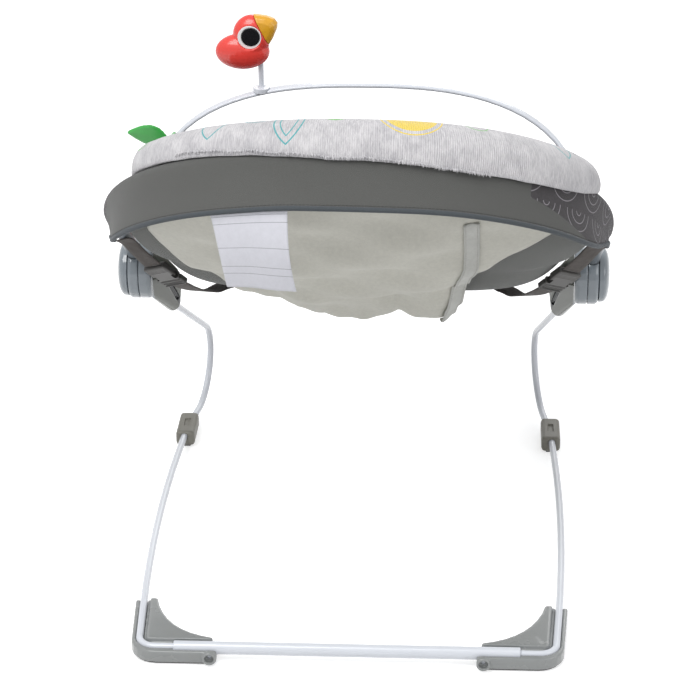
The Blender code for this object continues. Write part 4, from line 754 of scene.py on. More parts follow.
def shell_with_painted_shade(colour):
    """The shells' plastic, with painted shade: the fin painted darker olive grey, and its open slot painted
    near black as the shadow in it. Both sides mirror.
    """
    made = coated("inner_shell_plastic", colour, roughness=0.15, speck=0.05, coat=0.5)
    tree = made.node_tree
    shader = tree.nodes["Principled BSDF"]
    shell = shader.inputs["Base Color"].links[0].from_socket
    place = add(tree, "ShaderNodeTexCoord").outputs["Object"]
    x, y, z = add(tree, "ShaderNodeSeparateXYZ", {0: place}).outputs
    aside = reckon(tree, "ABSOLUTE", x)
    fin_shade_mask = reckon(tree, "LESS_THAN", aside, half_width(0.0) - HUB_INNER_DEPTH - FIN_FROM_SHELL)
    first, last = (Vector((half_width(0.0) - i, HUB_Y + ahead, HUB_Z + rise)) for i, ahead, rise in SLOT_ENDS)
    along = tuple((last - first).normalized())
    one_side = add(tree, "ShaderNodeCombineXYZ", {0: aside, 1: y, 2: z}).outputs[0]
    from_first = vector_step(tree, "SUBTRACT", one_side, tuple(first))[0]
    away = vector_step(tree, "LENGTH", vector_step(tree, "CROSS_PRODUCT", from_first, along)[0])[1]
    run = vector_step(tree, "DOT_PRODUCT", from_first, along)[1]
    # the painted shadow reaches this far from the slot's line
    near_slot = reckon(tree, "LESS_THAN", away, SLOT_SHADOW_REACH)
    slot_shadow_mask = reckon(tree, "MULTIPLY", near_slot, reckon(tree, "GREATER_THAN", run, 0.0))
    # the fin painted darker olive grey: painted shade
    fin = mixed(tree, fin_shade_mask, shell, FIN_PAINTED_SHADE)
    tone = mixed(tree, reckon(tree, "MULTIPLY", slot_shadow_mask, fin_shade_mask), fin, SLOT_PAINTED_SHADOW)
    tree.links.new(tone, shader.inputs["Base Color"])
    return made


def cap_profile():
    """The cap's (reach, radius) from the parting plane: a short straight rim under a flattened dome."""
    start = HUB_OUTER_DEPTH + CAP_GAP
    profile = [(start, CAP_HOLE), (start, CAP_RADIUS * CAP_FOOT), (start + CAP_CHAMFER, CAP_RADIUS)]
    for degrees in range(0, 90, 6):
        turn = math.radians(degrees)
        reach = start + CAP_WALL + (CAP_DEPTH - CAP_WALL) * math.sin(turn)
        profile.append((reach, CAP_RADIUS * (CAP_DOME * math.cos(turn) ** CAP_POWER + CAP_LEAST)))
    profile.append((start + CAP_DEPTH, CAP_TIP))
    return profile


hub_plastic = coated("glossy_blue_grey_moulding", HUB_COLOUR, roughness=0.14, speck=0.05, coat=0.5)
shell_plastic_with_painted_shade = shell_with_painted_shade(HUB_COLOUR)
hub_x = half_width(0.0)
for side_name, sign in (("left", -1), ("right", 1)):
    for node, voxel, material in (
        ("_hub_inner_shell", 0.0008, shell_plastic_with_painted_shade),
        ("_hub_outer_shell", 0.0007, hub_plastic),
    ):
        shell = moulded(side_name + node + "_moulding", side_name + node, voxel, rounds=4, material=material)
        fitted(shell, "seat", "grey_gloss_plastic", side_name + node)
    hub_centre = Vector((hub_x * sign, HUB_Y, HUB_Z))
    cap = spun(side_name + "_hub_dome", cap_profile(), hub_centre, hub_plastic, CAP_SIDES, sign)
    fitted(cap, "seat", "grey_gloss_plastic", side_name + "_hub_cap")
    low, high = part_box(side_name + "_hub_screw")
    screw_end = Vector((high.x if sign > 0 else low.x, (low.y + high.y) / 2, (low.z + high.z) / 2))
    head = screw_head(side_name + "_hub_screw_head", screw_end, Vector((-sign, 0, 0)))
    fitted(head, "seat", "screw_steel", side_name + "_hub_screw")


# Seat pad
# The sling the child lies in: two layers of brushed charcoal fabric with pale arcs, filled with
# wadding and quilted. It is sewn to the borders all round and sags between the tubes.

CHARCOAL_COLOUR = (0.047, 0.043, 0.046)
ARC_COLOUR = (0.27, 0.25, 0.27)
UNDER_COLOUR = (0.088, 0.091, 0.083)
WEAVE_PITCH = 0.0011
ARC_CELL = 0.046
ARC_SPACING = 0.0072
ARC_WIDTH = 0.0009
ARC_REACH = 0.53  # of the cell
PAD_PUFF = 0.0030
PAD_PRESSURE = 4.0
PAD_THICKNESS = 0.018
PAD_EDGE = 0.0050
PAD_RISE = 0.34  # share of the way in over which the pad fills out
SAG_DEPTH = 0.034
SAG_SQUARE = 8.5
SAG_HEAD_RUN = BACK_LENGTH * 0.80
SAG_FOOT_RUN = FOOT_LENGTH * 0.72
BOTTOM_EXTRA = 0.002  # a little more sag where the child sits
BOTTOM_AT = -0.060
BOTTOM_RUN = 0.055
FOLD_REACH = 0.060
EDGE_FROM_TUBE = 0.0079
EDGE_FROM_HUB = 0.027
HUB_GAP_END = 0.056
HUB_GAP_EASE = 0.025
PAD_RINGS = 26
RING_POWER = 0.9  # below 1 the rings lie closer together near the edge
QUILT_SHARE = 0.46  # a sewn ring, and sewn lines across inside it
QUILT_WIDTH = 0.040
QUILT_DEPTH = 0.24
QUILT_HELD = 0.025
LINE_PLACES = (0.235, 0.135, 0.035)
LINE_BOW = 1.75
LINE_WIDTH = 0.006
LINE_DEPTH = 0.13
LINE_END = 0.80
LINE_FADE = 0.06
EDGE_HELD = 0.93
STUFFING_HOLD = 0.03
STUFFING_STEPS = 20


def cloth_bump(tree, place, pitch, strength, depth):
    """A plain weave's over-and-under as a bump, on coordinates in metres."""
    split = add(tree, "ShaderNodeSeparateXYZ", {0: place})
    x, y, _ = split.outputs
    waves = [reckon(tree, "SINE", reckon(tree, "MULTIPLY", way, math.tau / pitch)) for way in (x, y)]
    fuzz = add(tree, "ShaderNodeTexNoise", {"Vector": place, "Scale": 0.7 / pitch, "Detail": 3.0}).outputs[0]
    height = reckon(tree, "ADD", reckon(tree, "MULTIPLY", waves[0], waves[1]), fuzz)
    return add(tree, "ShaderNodeBump", {"Height": height, "Strength": strength, "Distance": depth})


def shaded(colour, share):
    """A lighter or darker colour."""
    return tuple(min(c * share, 1.0) for c in colour)


def flecked(tree, place, scale, low, high):
    """The uneven tone of a spun yarn."""
    coarse = add(tree, "ShaderNodeTexNoise",
                 {"Vector": place, "Scale": scale, "Detail": 6.0, "Roughness": 0.75})
    ramp = add(tree, "ShaderNodeMapRange", {"Value": coarse.outputs[0], "From Min": 0.36, "From Max": 0.64})
    return mixed(tree, ramp.outputs[0], low, high)


def arc_lines(tree, place, cell, spacing, width):
    """Thin concentric arcs that fan out from the lower edge of each cell: 1 on a line, 0 off it."""
    split = add(tree, "ShaderNodeSeparateXYZ", {0: place})
    row = reckon(tree, "FLOOR", reckon(tree, "DIVIDE", split.outputs[1], cell / 2))
    shift = reckon(tree, "MULTIPLY", reckon(tree, "MODULO", reckon(tree, "ABSOLUTE", row), 2.0), cell / 2)
    x = reckon(tree, "PINGPONG", reckon(tree, "ADD", split.outputs[0], shift), cell / 2)
    y = reckon(tree, "SUBTRACT", split.outputs[1], reckon(tree, "MULTIPLY", row, cell / 2))
    square = reckon(tree, "ADD", reckon(tree, "MULTIPLY", x, x), reckon(tree, "MULTIPLY", y, y))
    away = reckon(tree, "SQRT", square)
    ring = reckon(tree, "FRACT", reckon(tree, "DIVIDE", away, spacing))
    from_line = reckon(tree, "ABSOLUTE", reckon(tree, "SUBTRACT", ring, 0.5))
    line = reckon(tree, "LESS_THAN", from_line, width / spacing / 2)
    inside = reckon(tree, "LESS_THAN", away, cell * ARC_REACH)
    return reckon(tree, "MULTIPLY", line, inside)


def charcoal_tone(tree, place):
    """Charcoal yarn with thin pale arcs printed on it."""
    yarn = flecked(tree, place, 700.0, shaded(CHARCOAL_COLOUR, 0.75), shaded(CHARCOAL_COLOUR, 1.45))
    return mixed(tree, arc_lines(tree, place, ARC_CELL, ARC_SPACING, ARC_WIDTH), yarn, ARC_COLOUR)


def cloth_sheen(shader, roughness, weight, sheen_roughness=0.5):
    """A cloth's dullness and the soft light along its pile."""
    shader.inputs["Roughness"].default_value = roughness
    shader.inputs["Sheen Weight"].default_value = weight
    shader.inputs["Sheen Roughness"].default_value = sheen_roughness


def charcoal_cloth():
    """Brushed charcoal fabric above, plain grey fabric where the third mark says it is the underside."""
    made, tree, shader = blank_finish("charcoal_arc_fabric")
    place = add(tree, "ShaderNodeAttribute", attribute_name="cloth_place").outputs["Vector"]
    under = reckon(tree, "GREATER_THAN", add(tree, "ShaderNodeSeparateXYZ", {0: place}).outputs[2], 0.5)
    plain = flecked(tree, place, 900.0, shaded(UNDER_COLOUR, 0.88), shaded(UNDER_COLOUR, 1.12))
    tree.links.new(mixed(tree, under, charcoal_tone(tree, place), plain), shader.inputs["Base Color"])
    cloth_sheen(shader, roughness=0.92, weight=0.35)
    tree.links.new(cloth_bump(tree, place, WEAVE_PITCH, 0.5, 0.0003).outputs[0], shader.inputs["Normal"])
    return made


def sling_frame(q):
    """Place and upward direction of the sling at q: the frame's, but rounded over the fold at the hubs."""
    if abs(q) >= FOLD_REACH:
        return on_frame(0, q), upward(q)
    start, end = on_frame(0, -FOLD_REACH), on_frame(0, FOLD_REACH)
    toward, back = headward(-FOLD_REACH), headward(FOLD_REACH)
    span = end - start
    reach = (span.y * back.z - span.z * back.y) / (toward.y * back.z - toward.z * back.y)
    corner = start + toward * reach
    t = (q + FOLD_REACH) / (2 * FOLD_REACH)
    place = start * (1 - t) ** 2 + corner * (2 * t * (1 - t)) + end * t ** 2
    along = ((corner - start) * (1 - t) + (end - corner) * t).normalized()
    return place, Vector((0, along.z, -along.y))


def sling_point(x, q, rise):
    """The point at (x, q), a rise above the sling's plane."""
    place, up = sling_frame(q)
    return Vector((x, 0, 0)) + place + up * rise


def sling_edge(place, out):
    """Where the sling's edge lies inside the tube: close to it, but clear of the hubs."""
    beside_hub = eased((abs(place.y) - HUB_GAP_END) / HUB_GAP_EASE)
    return place - out * between(EDGE_FROM_HUB, EDGE_FROM_TUBE, beside_hub)


sling_edges = [sling_edge(place, out) for place, out, _ in stations]
edge_turns = np.array([math.atan2(p.y - WIDEST_AT, p.x) for p in sling_edges])
edge_reach = np.array([math.hypot(p.x, p.y - WIDEST_AT) for p in sling_edges])
edge_order = np.argsort(edge_turns)
edge_turns, edge_reach = edge_turns[edge_order], edge_reach[edge_order]


def sling_share(x, q):
    """How far out from the sling's middle (x, q) lies: 1 at its edge."""
    reach = np.interp(math.atan2(q - WIDEST_AT, x), edge_turns, edge_reach, period=math.tau)
    return math.hypot(x, q - WIDEST_AT) / reach


def pad_low(q, share):
    """Height of the pad's underside over the frame."""
    from_end = (BACK_LENGTH - q) / SAG_HEAD_RUN if q >= 0 else (FOOT_LENGTH + q) / SAG_FOOT_RUN
    lengthwise = eased(from_end)
    depth = SAG_DEPTH * lengthwise + BOTTOM_EXTRA * math.exp(-((q - BOTTOM_AT) / BOTTOM_RUN) ** 2)
    return -PAD_EDGE / 2 - depth * (1 - min(share, 1.0) ** SAG_SQUARE)


def pad_crown(x, q, share):
    """Thickness of the pad: thin at its sewn edge, full inside, and drawn in along the quilting."""
    body = between(PAD_EDGE, PAD_THICKNESS, eased((1 - share) / PAD_RISE))
    ring = math.exp(-((share - QUILT_SHARE) / QUILT_WIDTH) ** 2)
    across = max(math.exp(-((q - at - LINE_BOW * x * x) / LINE_WIDTH) ** 2) for at in LINE_PLACES)
    lines = LINE_DEPTH * across * eased((LINE_END - share) / LINE_FADE)
    return body - PAD_THICKNESS * max(QUILT_DEPTH * ring, lines)


def coordinates(piece):
    """A piece's points as rows of (x, y, z)."""
    mesh = piece.data
    points = np.zeros(len(mesh.vertices) * 3)
    mesh.vertices.foreach_get("co", points)
    return points.reshape(-1, 3)


def mark_places(piece, places, name="cloth_place"):
    """Stores a place on the cloth for every point, for the material to read."""
    attribute = piece.data.attributes.new(name, "FLOAT_VECTOR", "POINT")
    attribute.data.foreach_set("vector", np.asarray(places, np.float32).ravel())


def puffed(piece, held, cap, pressure):
    """Blows a closed cushion up like wadding under cloth. held is 1 where a point stays on its seam."""
    rest = coordinates(piece)
    group = piece.vertex_groups.new(name="held")
    for index, weight in enumerate(held):
        group.add([index], float(weight), "REPLACE")
    cloth = piece.modifiers.new("cloth", "CLOTH")
    cloth.settings.quality = 4
    cloth.settings.mass = 0.2
    cloth.settings.tension_stiffness = cloth.settings.compression_stiffness = 12.0
    cloth.settings.bending_stiffness = 0.6
    cloth.settings.use_pressure = True
    cloth.settings.uniform_pressure_force = pressure
    cloth.settings.vertex_group_mass = "held"
    cloth.settings.effector_weights.gravity = 0.0
    cloth.collision_settings.use_collision = False
    for step in range(1, STUFFING_STEPS + 1):
        bpy.context.scene.frame_set(step)
    moved = np.zeros(len(rest) * 3)
    graph = bpy.context.evaluated_depsgraph_get()
    piece.evaluated_get(graph).data.vertices.foreach_get("co", moved)
    move = moved.reshape(-1, 3) - rest
    reach = np.linalg.norm(move, axis=1, keepdims=True)
    move *= np.minimum(1.0, cap / np.maximum(reach, HAIR))
    piece.modifiers.clear()
    piece.vertex_groups.clear()
    bpy.context.scene.frame_set(1)
    piece.data.vertices.foreach_set("co", (rest + move).ravel())
    finer = piece.modifiers.new("finer", "SUBSURF")
    finer.levels = finer.render_levels = 1
    settled(piece)
    piece.data.shade_smooth()
    return piece


def faced_out(mesh):
    """Turns every face outwards."""
    shape = bmesh.new()
    shape.from_mesh(mesh)
    bmesh.ops.recalc_face_normals(shape, faces=shape.faces)
    shape.to_mesh(mesh)
    shape.free()


def closed_piece(name, points, faces, places):
    """A closed piece whose points know their places on the cloth."""
    mesh = bpy.data.meshes.new(name)
    mesh.from_pydata([tuple(p) for p in points], [], faces)
    faced_out(mesh)
    piece = shown(name, mesh)
    mark_places(piece, places)
    return piece


def pad_piece():
    """The pad as rings from its middle to its edge, above and below, and its hold for the stuffing."""
    points, places, faces, held = [], [], [], []
    count = len(sling_edges)
    for upper in (True, False):
        start = len(points)
        for ring in range(PAD_RINGS + 1):
            share = (ring / PAD_RINGS) ** RING_POWER
            sewn = share > EDGE_HELD or abs(share - QUILT_SHARE) < QUILT_HELD
            for edge in sling_edges if ring else sling_edges[:1]:
                x = edge.x * share
                q = WIDEST_AT + (edge.y - WIDEST_AT) * share
                thick = pad_crown(x, q, share) if upper else 0.0
                points.append(sling_point(x, q, pad_low(q, share) + thick))
                places.append((x, q, 0.0 if upper else 1.0))
                held.append(STUFFING_HOLD if upper and not sewn else 1.0)
        for k in range(count):
            n = (k + 1) % count
            faces.append((start, start + 1 + k, start + 1 + n))
            for ring in range(PAD_RINGS - 1):
                a, b = start + 1 + ring * count, start + 1 + (ring + 1) * count
                faces.append((a + k, b + k, b + n, a + n))
    rim = 1 + (PAD_RINGS - 1) * count
    other = rim + 1 + PAD_RINGS * count
    faces += [(rim + k, rim + (k + 1) % count, other + (k + 1) % count, other + k) for k in range(count)]
    return closed_piece("charcoal_seat_pad", points, faces, places), held


seat_pad, pad_held = pad_piece()
puffed(seat_pad, pad_held, PAD_PUFF, PAD_PRESSURE)
charcoal_fabric = charcoal_cloth()
seat_pad.data.materials.append(charcoal_fabric)
fitted(seat_pad, "seat", "charcoal_fabric", "seat_pad")


# Head roll
# A plush heather-grey bolster sewn over the head end, filled with wadding, printed with plain
# yellow discs and teal outlines. Its lower lip bulges over the tube and its ends are rounded off.

HEATHER_LIGHT = (0.66, 0.645, 0.655)
HEATHER_DARK = (0.40, 0.39, 0.41)
PRINT_YELLOW = (0.86, 0.63, 0.04)
PRINT_TEAL = (0.03, 0.36, 0.38)
PRINT_GREEN = (0.16, 0.50, 0.10)
PRINT_CELL = 0.330  # the motifs come again after this run along the roll
PRINT_COVER = 0.88
RIB_PITCH = 0.0019
RIB_TONE = 0.045
RIB_HEIGHT = 0.35
STREAK_STRETCH = 0.22
FINE_TONE = 0.62
BROAD_TONE = 0.38
TUFT_HEIGHT = 1.2
PRINTS = (  # middle along and across the cloth, radius, line (0 fills it), a lens's half offset, ink
    ((-0.055, 0.060), 0.0230, 0.0, 0.0, PRINT_YELLOW),
    ((-0.055, 0.060), 0.0275, 0.0013, 0.0, PRINT_YELLOW),
    ((0.052, 0.068), 0.0400, 0.0013, 0.0270, PRINT_TEAL),
    ((0.052, 0.068), 0.0345, 0.0011, 0.0270, PRINT_TEAL),
    ((0.084, 0.056), 0.0120, 0.0012, 0.0, PRINT_TEAL),
    ((0.012, 0.060), 0.0080, 0.0, 0.0, PRINT_GREEN),
    ((-0.115, 0.062), 0.0105, 0.0013, 0.0, PRINT_GREEN),
    ((0.124, 0.062), 0.0300, 0.0013, 0.0190, PRINT_TEAL),
)
ROLL_RIGHT_FROM = 0.198
ROLL_LEFT_FROM = 0.226
ROLL_END = 0.036
ROLL_END_SIZE = 0.10
ROLL_PUFF = 0.006
ROLL_PRESSURE = 3.0
ROLL_OUTER = ((-0.0450, 0.0150), (-0.0480, 0.0245), (-0.0440, 0.0330), (-0.0350, 0.0385), (-0.0230, 0.0405),
              (-0.0110, 0.0400), (-0.0010, 0.0370), (0.0070, 0.0310), (0.0125, 0.0235), (0.0158, 0.0150),
              (0.0168, 0.0065), (0.0160, -0.0010), (0.0146, -0.0080), (0.0124, -0.0125))
ROLL_INNER = ((-0.0420, 0.0106), (-0.0380, 0.0106), (-0.0320, 0.0106), (-0.0260, 0.0106), (-0.0200, 0.0106),
              (-0.0140, 0.0106), (-0.0080, 0.0107), (-0.0020, 0.0107), (0.0040, 0.0101), (0.0070, 0.0084),
              (0.0092, 0.0058), (0.0106, 0.0026), (0.0112, -0.0020), (0.0114, -0.0100))
SECTION_STEPS = 40
ROLL_STEPS = 28
CLOSING_FROM = 0.74  # share of the section from which the lip rounds in
CRINKLE_FROM = 0.6
LIP_KEPT = 0.925  # share of the section that is kept in the middle
LIP_FALL_RUN = 0.12
LIP_RISE = 1.25
LIP_RISE_FROM = 0.01
RIGHT_END = (0.305, ROLL_RIGHT_FROM, 0.45)  # where an end starts to shorten, where it stops, and what is left
LEFT_END = (0.285, ROLL_LEFT_FROM, 0.62)
GATHER = (0.0007, 0.0041, 0.031)  # height, pitch and drift of the elastic's gathers
CRIMP = (0.0005, 0.0017)
FRINGE_PITCH = 0.0007
FRINGE_LENGTH = 0.0036
FRINGE_FROM = 0.30
FRINGE_TO_X = 0.12
FRINGE_OFF = 0.0003
FRINGE_STRAY = (0.5, 0.5, 0.35)
TUFT_TIP = 0.0001
TUFT_ROOT = 0.0008
TUFT_SIZES = (0.45, 1.1)


def fine_section(coarse, steps):
    """A smooth run through a section's points, at equal steps."""
    dense = []
    count = len(coarse)
    for i in range(count - 1):
        a, b, c, d = (Vector(coarse[min(max(i + k, 0), count - 1)]) for k in (-1, 0, 1, 2))
        for j in range(8):
            t = j / 8
            square, cube = 2 * a - 5 * b + 4 * c - d, 3 * b - a - 3 * c + d
            dense.append(0.5 * ((2 * b) + (c - a) * t + square * t * t + cube * t ** 3))
    return evenly(dense + [Vector(coarse[-1])], steps)


def at_share(route, share):
    """The point at a share of a route's length."""
    spot = min(max(share, 0.0), 1.0) * (len(route) - 1)
    k = min(int(spot), len(route) - 2)
    return route[k].lerp(route[k + 1], spot - k)


def lip_cut(place):
    """Share of the section that is kept: the lip hangs lower at the right and sits higher at the left."""
    start, stop, least = RIGHT_END if place.x > 0 else LEFT_END
    gone = min(max((start - place.y) / (start - stop), 0.0), 1.0)
    if place.x > 0:
        kept = LIP_KEPT + (1 - LIP_KEPT) * eased(place.x / LIP_FALL_RUN)
    else:
        kept = LIP_KEPT - LIP_RISE * max(0.0, -place.x - LIP_RISE_FROM)
    return kept * (least + (1 - least) * math.sqrt(1 - gone ** 2))


def gathered(mark):
    """How far the cloth ripples where the elastic draws the lip in."""
    high, pitch, drift = GATHER
    crimp, crimp_pitch = CRIMP
    return high * math.sin(mark / pitch + 2.0 * math.sin(mark / drift)) + crimp * math.sin(mark / crimp_pitch)


def roll_section(place, mark, size):
    """The roll's upper and lower runs at one station, as (outward, up), from its inner seam to its lip."""
    cut = lip_cut(place)
    upper, lower = [], []
    for k in range(ROLL_STEPS + 1):
        t = k / ROLL_STEPS
        top, base = at_share(roll_outer, t * cut), at_share(roll_inner, t * cut)
        closing = math.sqrt(1 - min(max((t - CLOSING_FROM) / (1 - CLOSING_FROM), 0.0), 0.998) ** 2)
        late = eased((t - CRINKLE_FROM) / (1 - CRINKLE_FROM))
        crinkle = (top - base).normalized() * gathered(mark) * late * size
        upper.append(base + (top - base) * size * closing + crinkle)
        lower.append(base)
    return upper, lower


def roll_piece():
    """The roll as sections along the tube, its lip's line, and its hold for the stuffing."""
    ordered = [s for s in stations if s[0].y >= (ROLL_RIGHT_FROM if s[0].x > 0 else ROLL_LEFT_FROM)]
    ordered.sort(key=lambda s: s[2])
    first_mark, last_mark = ordered[0][2], ordered[-1][2]
    points, places, held, lip, faces = [], [], [], [], []
    for place, out, mark in ordered:
        gone = 1 - min(min(mark - first_mark, last_mark - mark) / ROLL_END, 1.0)
        size = ROLL_END_SIZE + (1 - ROLL_END_SIZE) * math.sqrt(1 - gone ** 2)
        outward, up = Vector((out.x, 0, 0)) + headward(place.y) * out.y, upward(place.y)
        middle = on_frame(place.x, place.y)
        upper, lower = roll_section(place, mark, size)
        run = 0.0
        for k, p in enumerate(upper + lower[-2:0:-1]):
            if 0 < k <= ROLL_STEPS:
                run += (p - upper[k - 1]).length
            points.append(middle + outward * p.x + up * p.y)
            places.append((mark, run, 0.0))
            held.append(1.0 if k < 2 or k > ROLL_STEPS - 2 else STUFFING_HOLD)
        if place.y > FRINGE_FROM and place.x < FRINGE_TO_X:
            tip = upper[-2]
            lean = (tip - upper[-4]).normalized()
            lip.append((middle + outward * (tip.x + FRINGE_OFF) + up * tip.y, outward * lean.x + up * lean.y))
    count, rows = 2 * ROLL_STEPS, len(ordered)
    for i in range(rows - 1):
        for k in range(count):
            n = (k + 1) % count
            faces.append((i * count + k, i * count + n, (i + 1) * count + n, (i + 1) * count + k))
    faces += [tuple(range(count)), tuple((rows - 1) * count + k for k in range(count))]
    return closed_piece("plush_head_roll", points, faces, places), held, lip


def motif(tree, place, at, reach, line, lens):
    """A plain printed shape once in each cell along the roll: a disc, a ring or a lens outline."""
    split = add(tree, "ShaderNodeSeparateXYZ", {0: place})
    shifted = reckon(tree, "ADD", split.outputs[0], PRINT_CELL / 2 - at[0])
    moved = reckon(tree, "FLOORED_MODULO", shifted, PRINT_CELL)
    u, v = reckon(tree, "SUBTRACT", moved, PRINT_CELL / 2), reckon(tree, "SUBTRACT", split.outputs[1], at[1])
    square = reckon(tree, "MULTIPLY", v, v)
    outline = None
    for side in (-lens, lens) if lens else (0.0,):
        w = reckon(tree, "SUBTRACT", u, side)
        away = reckon(tree, "SQRT", reckon(tree, "ADD", reckon(tree, "MULTIPLY", w, w), square))
        edge = reckon(tree, "SUBTRACT", away, reach)
        outline = edge if outline is None else reckon(tree, "MAXIMUM", outline, edge)
    if line:
        return reckon(tree, "LESS_THAN", reckon(tree, "ABSOLUTE", outline), line / 2)
    return reckon(tree, "LESS_THAN", outline, 0.0)


def plush(name, low, high, prints=()):
    """Short-pile knit: flecked tone in fine ribs, a deep soft bump, a strong sheen, and printed shapes."""
    made, tree, shader = blank_finish(name)
    place = add(tree, "ShaderNodeAttribute", attribute_name="cloth_place").outputs["Vector"]
    body = add(tree, "ShaderNodeTexCoord").outputs["Object"]
    split = add(tree, "ShaderNodeSeparateXYZ", {0: place})
    rib = reckon(tree, "SINE", reckon(tree, "MULTIPLY", split.outputs[0], math.tau / RIB_PITCH))
    slow = reckon(tree, "MULTIPLY", split.outputs[1], STREAK_STRETCH)
    stretched = add(tree, "ShaderNodeCombineXYZ", {0: split.outputs[0], 1: slow}).outputs[0]
    streak = add(tree, "ShaderNodeTexNoise",
                 {"Vector": stretched, "Scale": 520.0, "Detail": 4.0, "Roughness": 0.7})
    mottle = add(tree, "ShaderNodeTexNoise", {"Vector": body, "Scale": 55.0, "Detail": 3.0}).outputs[0]
    tone = reckon(tree, "ADD", reckon(tree, "MULTIPLY", rib, RIB_TONE), streak.outputs[0])
    fine, broad = reckon(tree, "MULTIPLY", tone, FINE_TONE), reckon(tree, "MULTIPLY", mottle, BROAD_TONE)
    tone = reckon(tree, "ADD", fine, broad)
    ramp = add(tree, "ShaderNodeMapRange", {"Value": tone, "From Min": 0.34, "From Max": 0.60})
    colour = mixed(tree, ramp.outputs[0], low, high)
    for at, reach, line, lens, ink in prints:
        faded = reckon(tree, "MULTIPLY", motif(tree, place, at, reach, line, lens), PRINT_COVER)
        colour = mixed(tree, faded, colour, ink)
    tree.links.new(colour, shader.inputs["Base Color"])
    cloth_sheen(shader, roughness=0.95, weight=0.45, sheen_roughness=0.45)
    pile = add(tree, "ShaderNodeTexNoise", {"Vector": body, "Scale": 420.0, "Detail": 5.0, "Roughness": 0.7})
    tuft = add(tree, "ShaderNodeTexNoise", {"Vector": body, "Scale": 70.0, "Detail": 3.0})
    soft = reckon(tree, "ADD", pile.outputs[0], reckon(tree, "MULTIPLY", tuft.outputs[0], TUFT_HEIGHT))
    height = reckon(tree, "ADD", reckon(tree, "MULTIPLY", rib, RIB_HEIGHT), soft)
    bump = add(tree, "ShaderNodeBump", {"Height": height, "Strength": 0.6, "Distance": 0.0012})
    tree.links.new(bump.outputs[0], shader.inputs["Normal"])
    return made


def fringe_tree():
    """Geometry tree: loose tufts of pile along a seam, each leaning its own way."""
    tree = bpy.data.node_groups.new("pile_fringe", "GeometryNodeTree")
    given, result = sockets_of(tree, Pitch="NodeSocketFloat", Long="NodeSocketFloat", Seed="NodeSocketInt",
                               Finish="NodeSocketMaterial")
    line = add(tree, "GeometryNodeMeshToCurve", {"Mesh": given.outputs["Geometry"]})
    points = add(tree, "GeometryNodeCurveToPoints",
                 {"Curve": line.outputs[0], "Length": given.outputs["Pitch"]}, mode="LENGTH")
    lean = add(tree, "GeometryNodeInputNamedAttribute", {"Name": "lean"}, data_type="FLOAT_VECTOR")
    stray = add(tree, "FunctionNodeRandomValue",
                {"Min": tuple(-s for s in FRINGE_STRAY), "Max": FRINGE_STRAY, "Seed": given.outputs["Seed"]},
                data_type="FLOAT_VECTOR")
    toward = vector_step(tree, "ADD", lean.outputs["Attribute"], stray.outputs[0])[0]
    turn = add(tree, "FunctionNodeAlignRotationToVector", {"Vector": toward}, axis="Z")
    cone = add(tree, "GeometryNodeMeshCone",
               {"Vertices": 5, "Radius Top": TUFT_TIP, "Radius Bottom": TUFT_ROOT, "Depth": 1.0})
    least, most = TUFT_SIZES
    size = add(tree, "FunctionNodeRandomValue", {2: least, 3: most, "Seed": given.outputs["Seed"]})
    long = reckon(tree, "MULTIPLY", size.outputs[1], given.outputs["Long"])
    scale = add(tree, "ShaderNodeCombineXYZ", {0: 1.0, 1: 1.0, 2: long})
    set_out = add(tree, "GeometryNodeInstanceOnPoints",
                  {"Points": points.outputs["Points"], "Instance": cone.outputs["Mesh"],
                   "Rotation": turn.outputs[0], "Scale": scale.outputs[0]})
    whole = add(tree, "GeometryNodeRealizeInstances", {"Geometry": set_out.outputs[0]})
    dressed = add(tree, "GeometryNodeSetMaterial",
                  {"Geometry": whole.outputs[0], "Material": given.outputs["Finish"]})
    tree.links.new(dressed.outputs[0], result.inputs["Geometry"])
    return tree


roll_outer, roll_inner = fine_section(ROLL_OUTER, SECTION_STEPS), fine_section(ROLL_INNER, SECTION_STEPS)
head_roll, roll_held, roll_lip = roll_piece()
puffed(head_roll, roll_held, ROLL_PUFF, ROLL_PRESSURE)
plush_fabric = plush("printed_plush", HEATHER_DARK, HEATHER_LIGHT, PRINTS)
head_roll.data.materials.append(plush_fabric)
fitted(head_roll, "seat", "heather_print_fabric", "head_roll")
fringe_line = path_mesh([p for p, _ in roll_lip])
lean_marks = fringe_line.attributes.new("lean", "FLOAT_VECTOR", "POINT")
lean_marks.data.foreach_set("vector", np.array([d[:] for _, d in roll_lip], np.float32).ravel())
fringe_pile = plush("fringe_pile", shaded(HEATHER_DARK, 1.15), HEATHER_LIGHT)
fringe = grown("head_roll_pile_fringe", fringe_tree(), fringe_line, Pitch=FRINGE_PITCH, Long=FRINGE_LENGTH,
               Seed=7, Finish=fringe_pile)
mark_places(fringe, coordinates(fringe))
fitted(fringe, "seat", "heather_print_fabric")


# Fabric borders
# Grey stretch fabric sewn to the sling inside the tube, pulled over it, and hanging as a skirt
# with a bound hem. Beyond the roll's ends the charcoal fabric wraps over the tube instead.

BORDER_COLOUR = (0.090, 0.091, 0.086)
PIPING_COLOUR = (0.060, 0.069, 0.077)
THREAD_COLOUR = (0.06, 0.06, 0.06)
FABRIC_THICK = 0.0018
SLEEVE_RADIUS = 0.0088
SLEEVE_RUN = SLEEVE_RADIUS * 1.57  # a quarter turn over the tube
FLAP_WIDTH = 0.012
FLAP_STEPS = 4
HEAD_BORDER_START = 0.088
FOOT_BORDER_START = 0.060
SKIRT_START = 0.012
SKIRT_HEAD = 0.046
SKIRT_FOOT = 0.024
SKIRT_HEAD_RUN = (BACK_LENGTH - WIDEST_AT) * 0.7
SKIRT_FOOT_RUN = FOOT_LENGTH - FOOT_BORDER_START
SKIRT_STEPS = 14
SKIRT_TUCK = 0.06  # how far the skirt leans in, as a share of its depth
SIDE_TUCK = 0.22
SIDE_TUCK_FROM = 0.240
SIDE_TUCK_RUN = 0.080
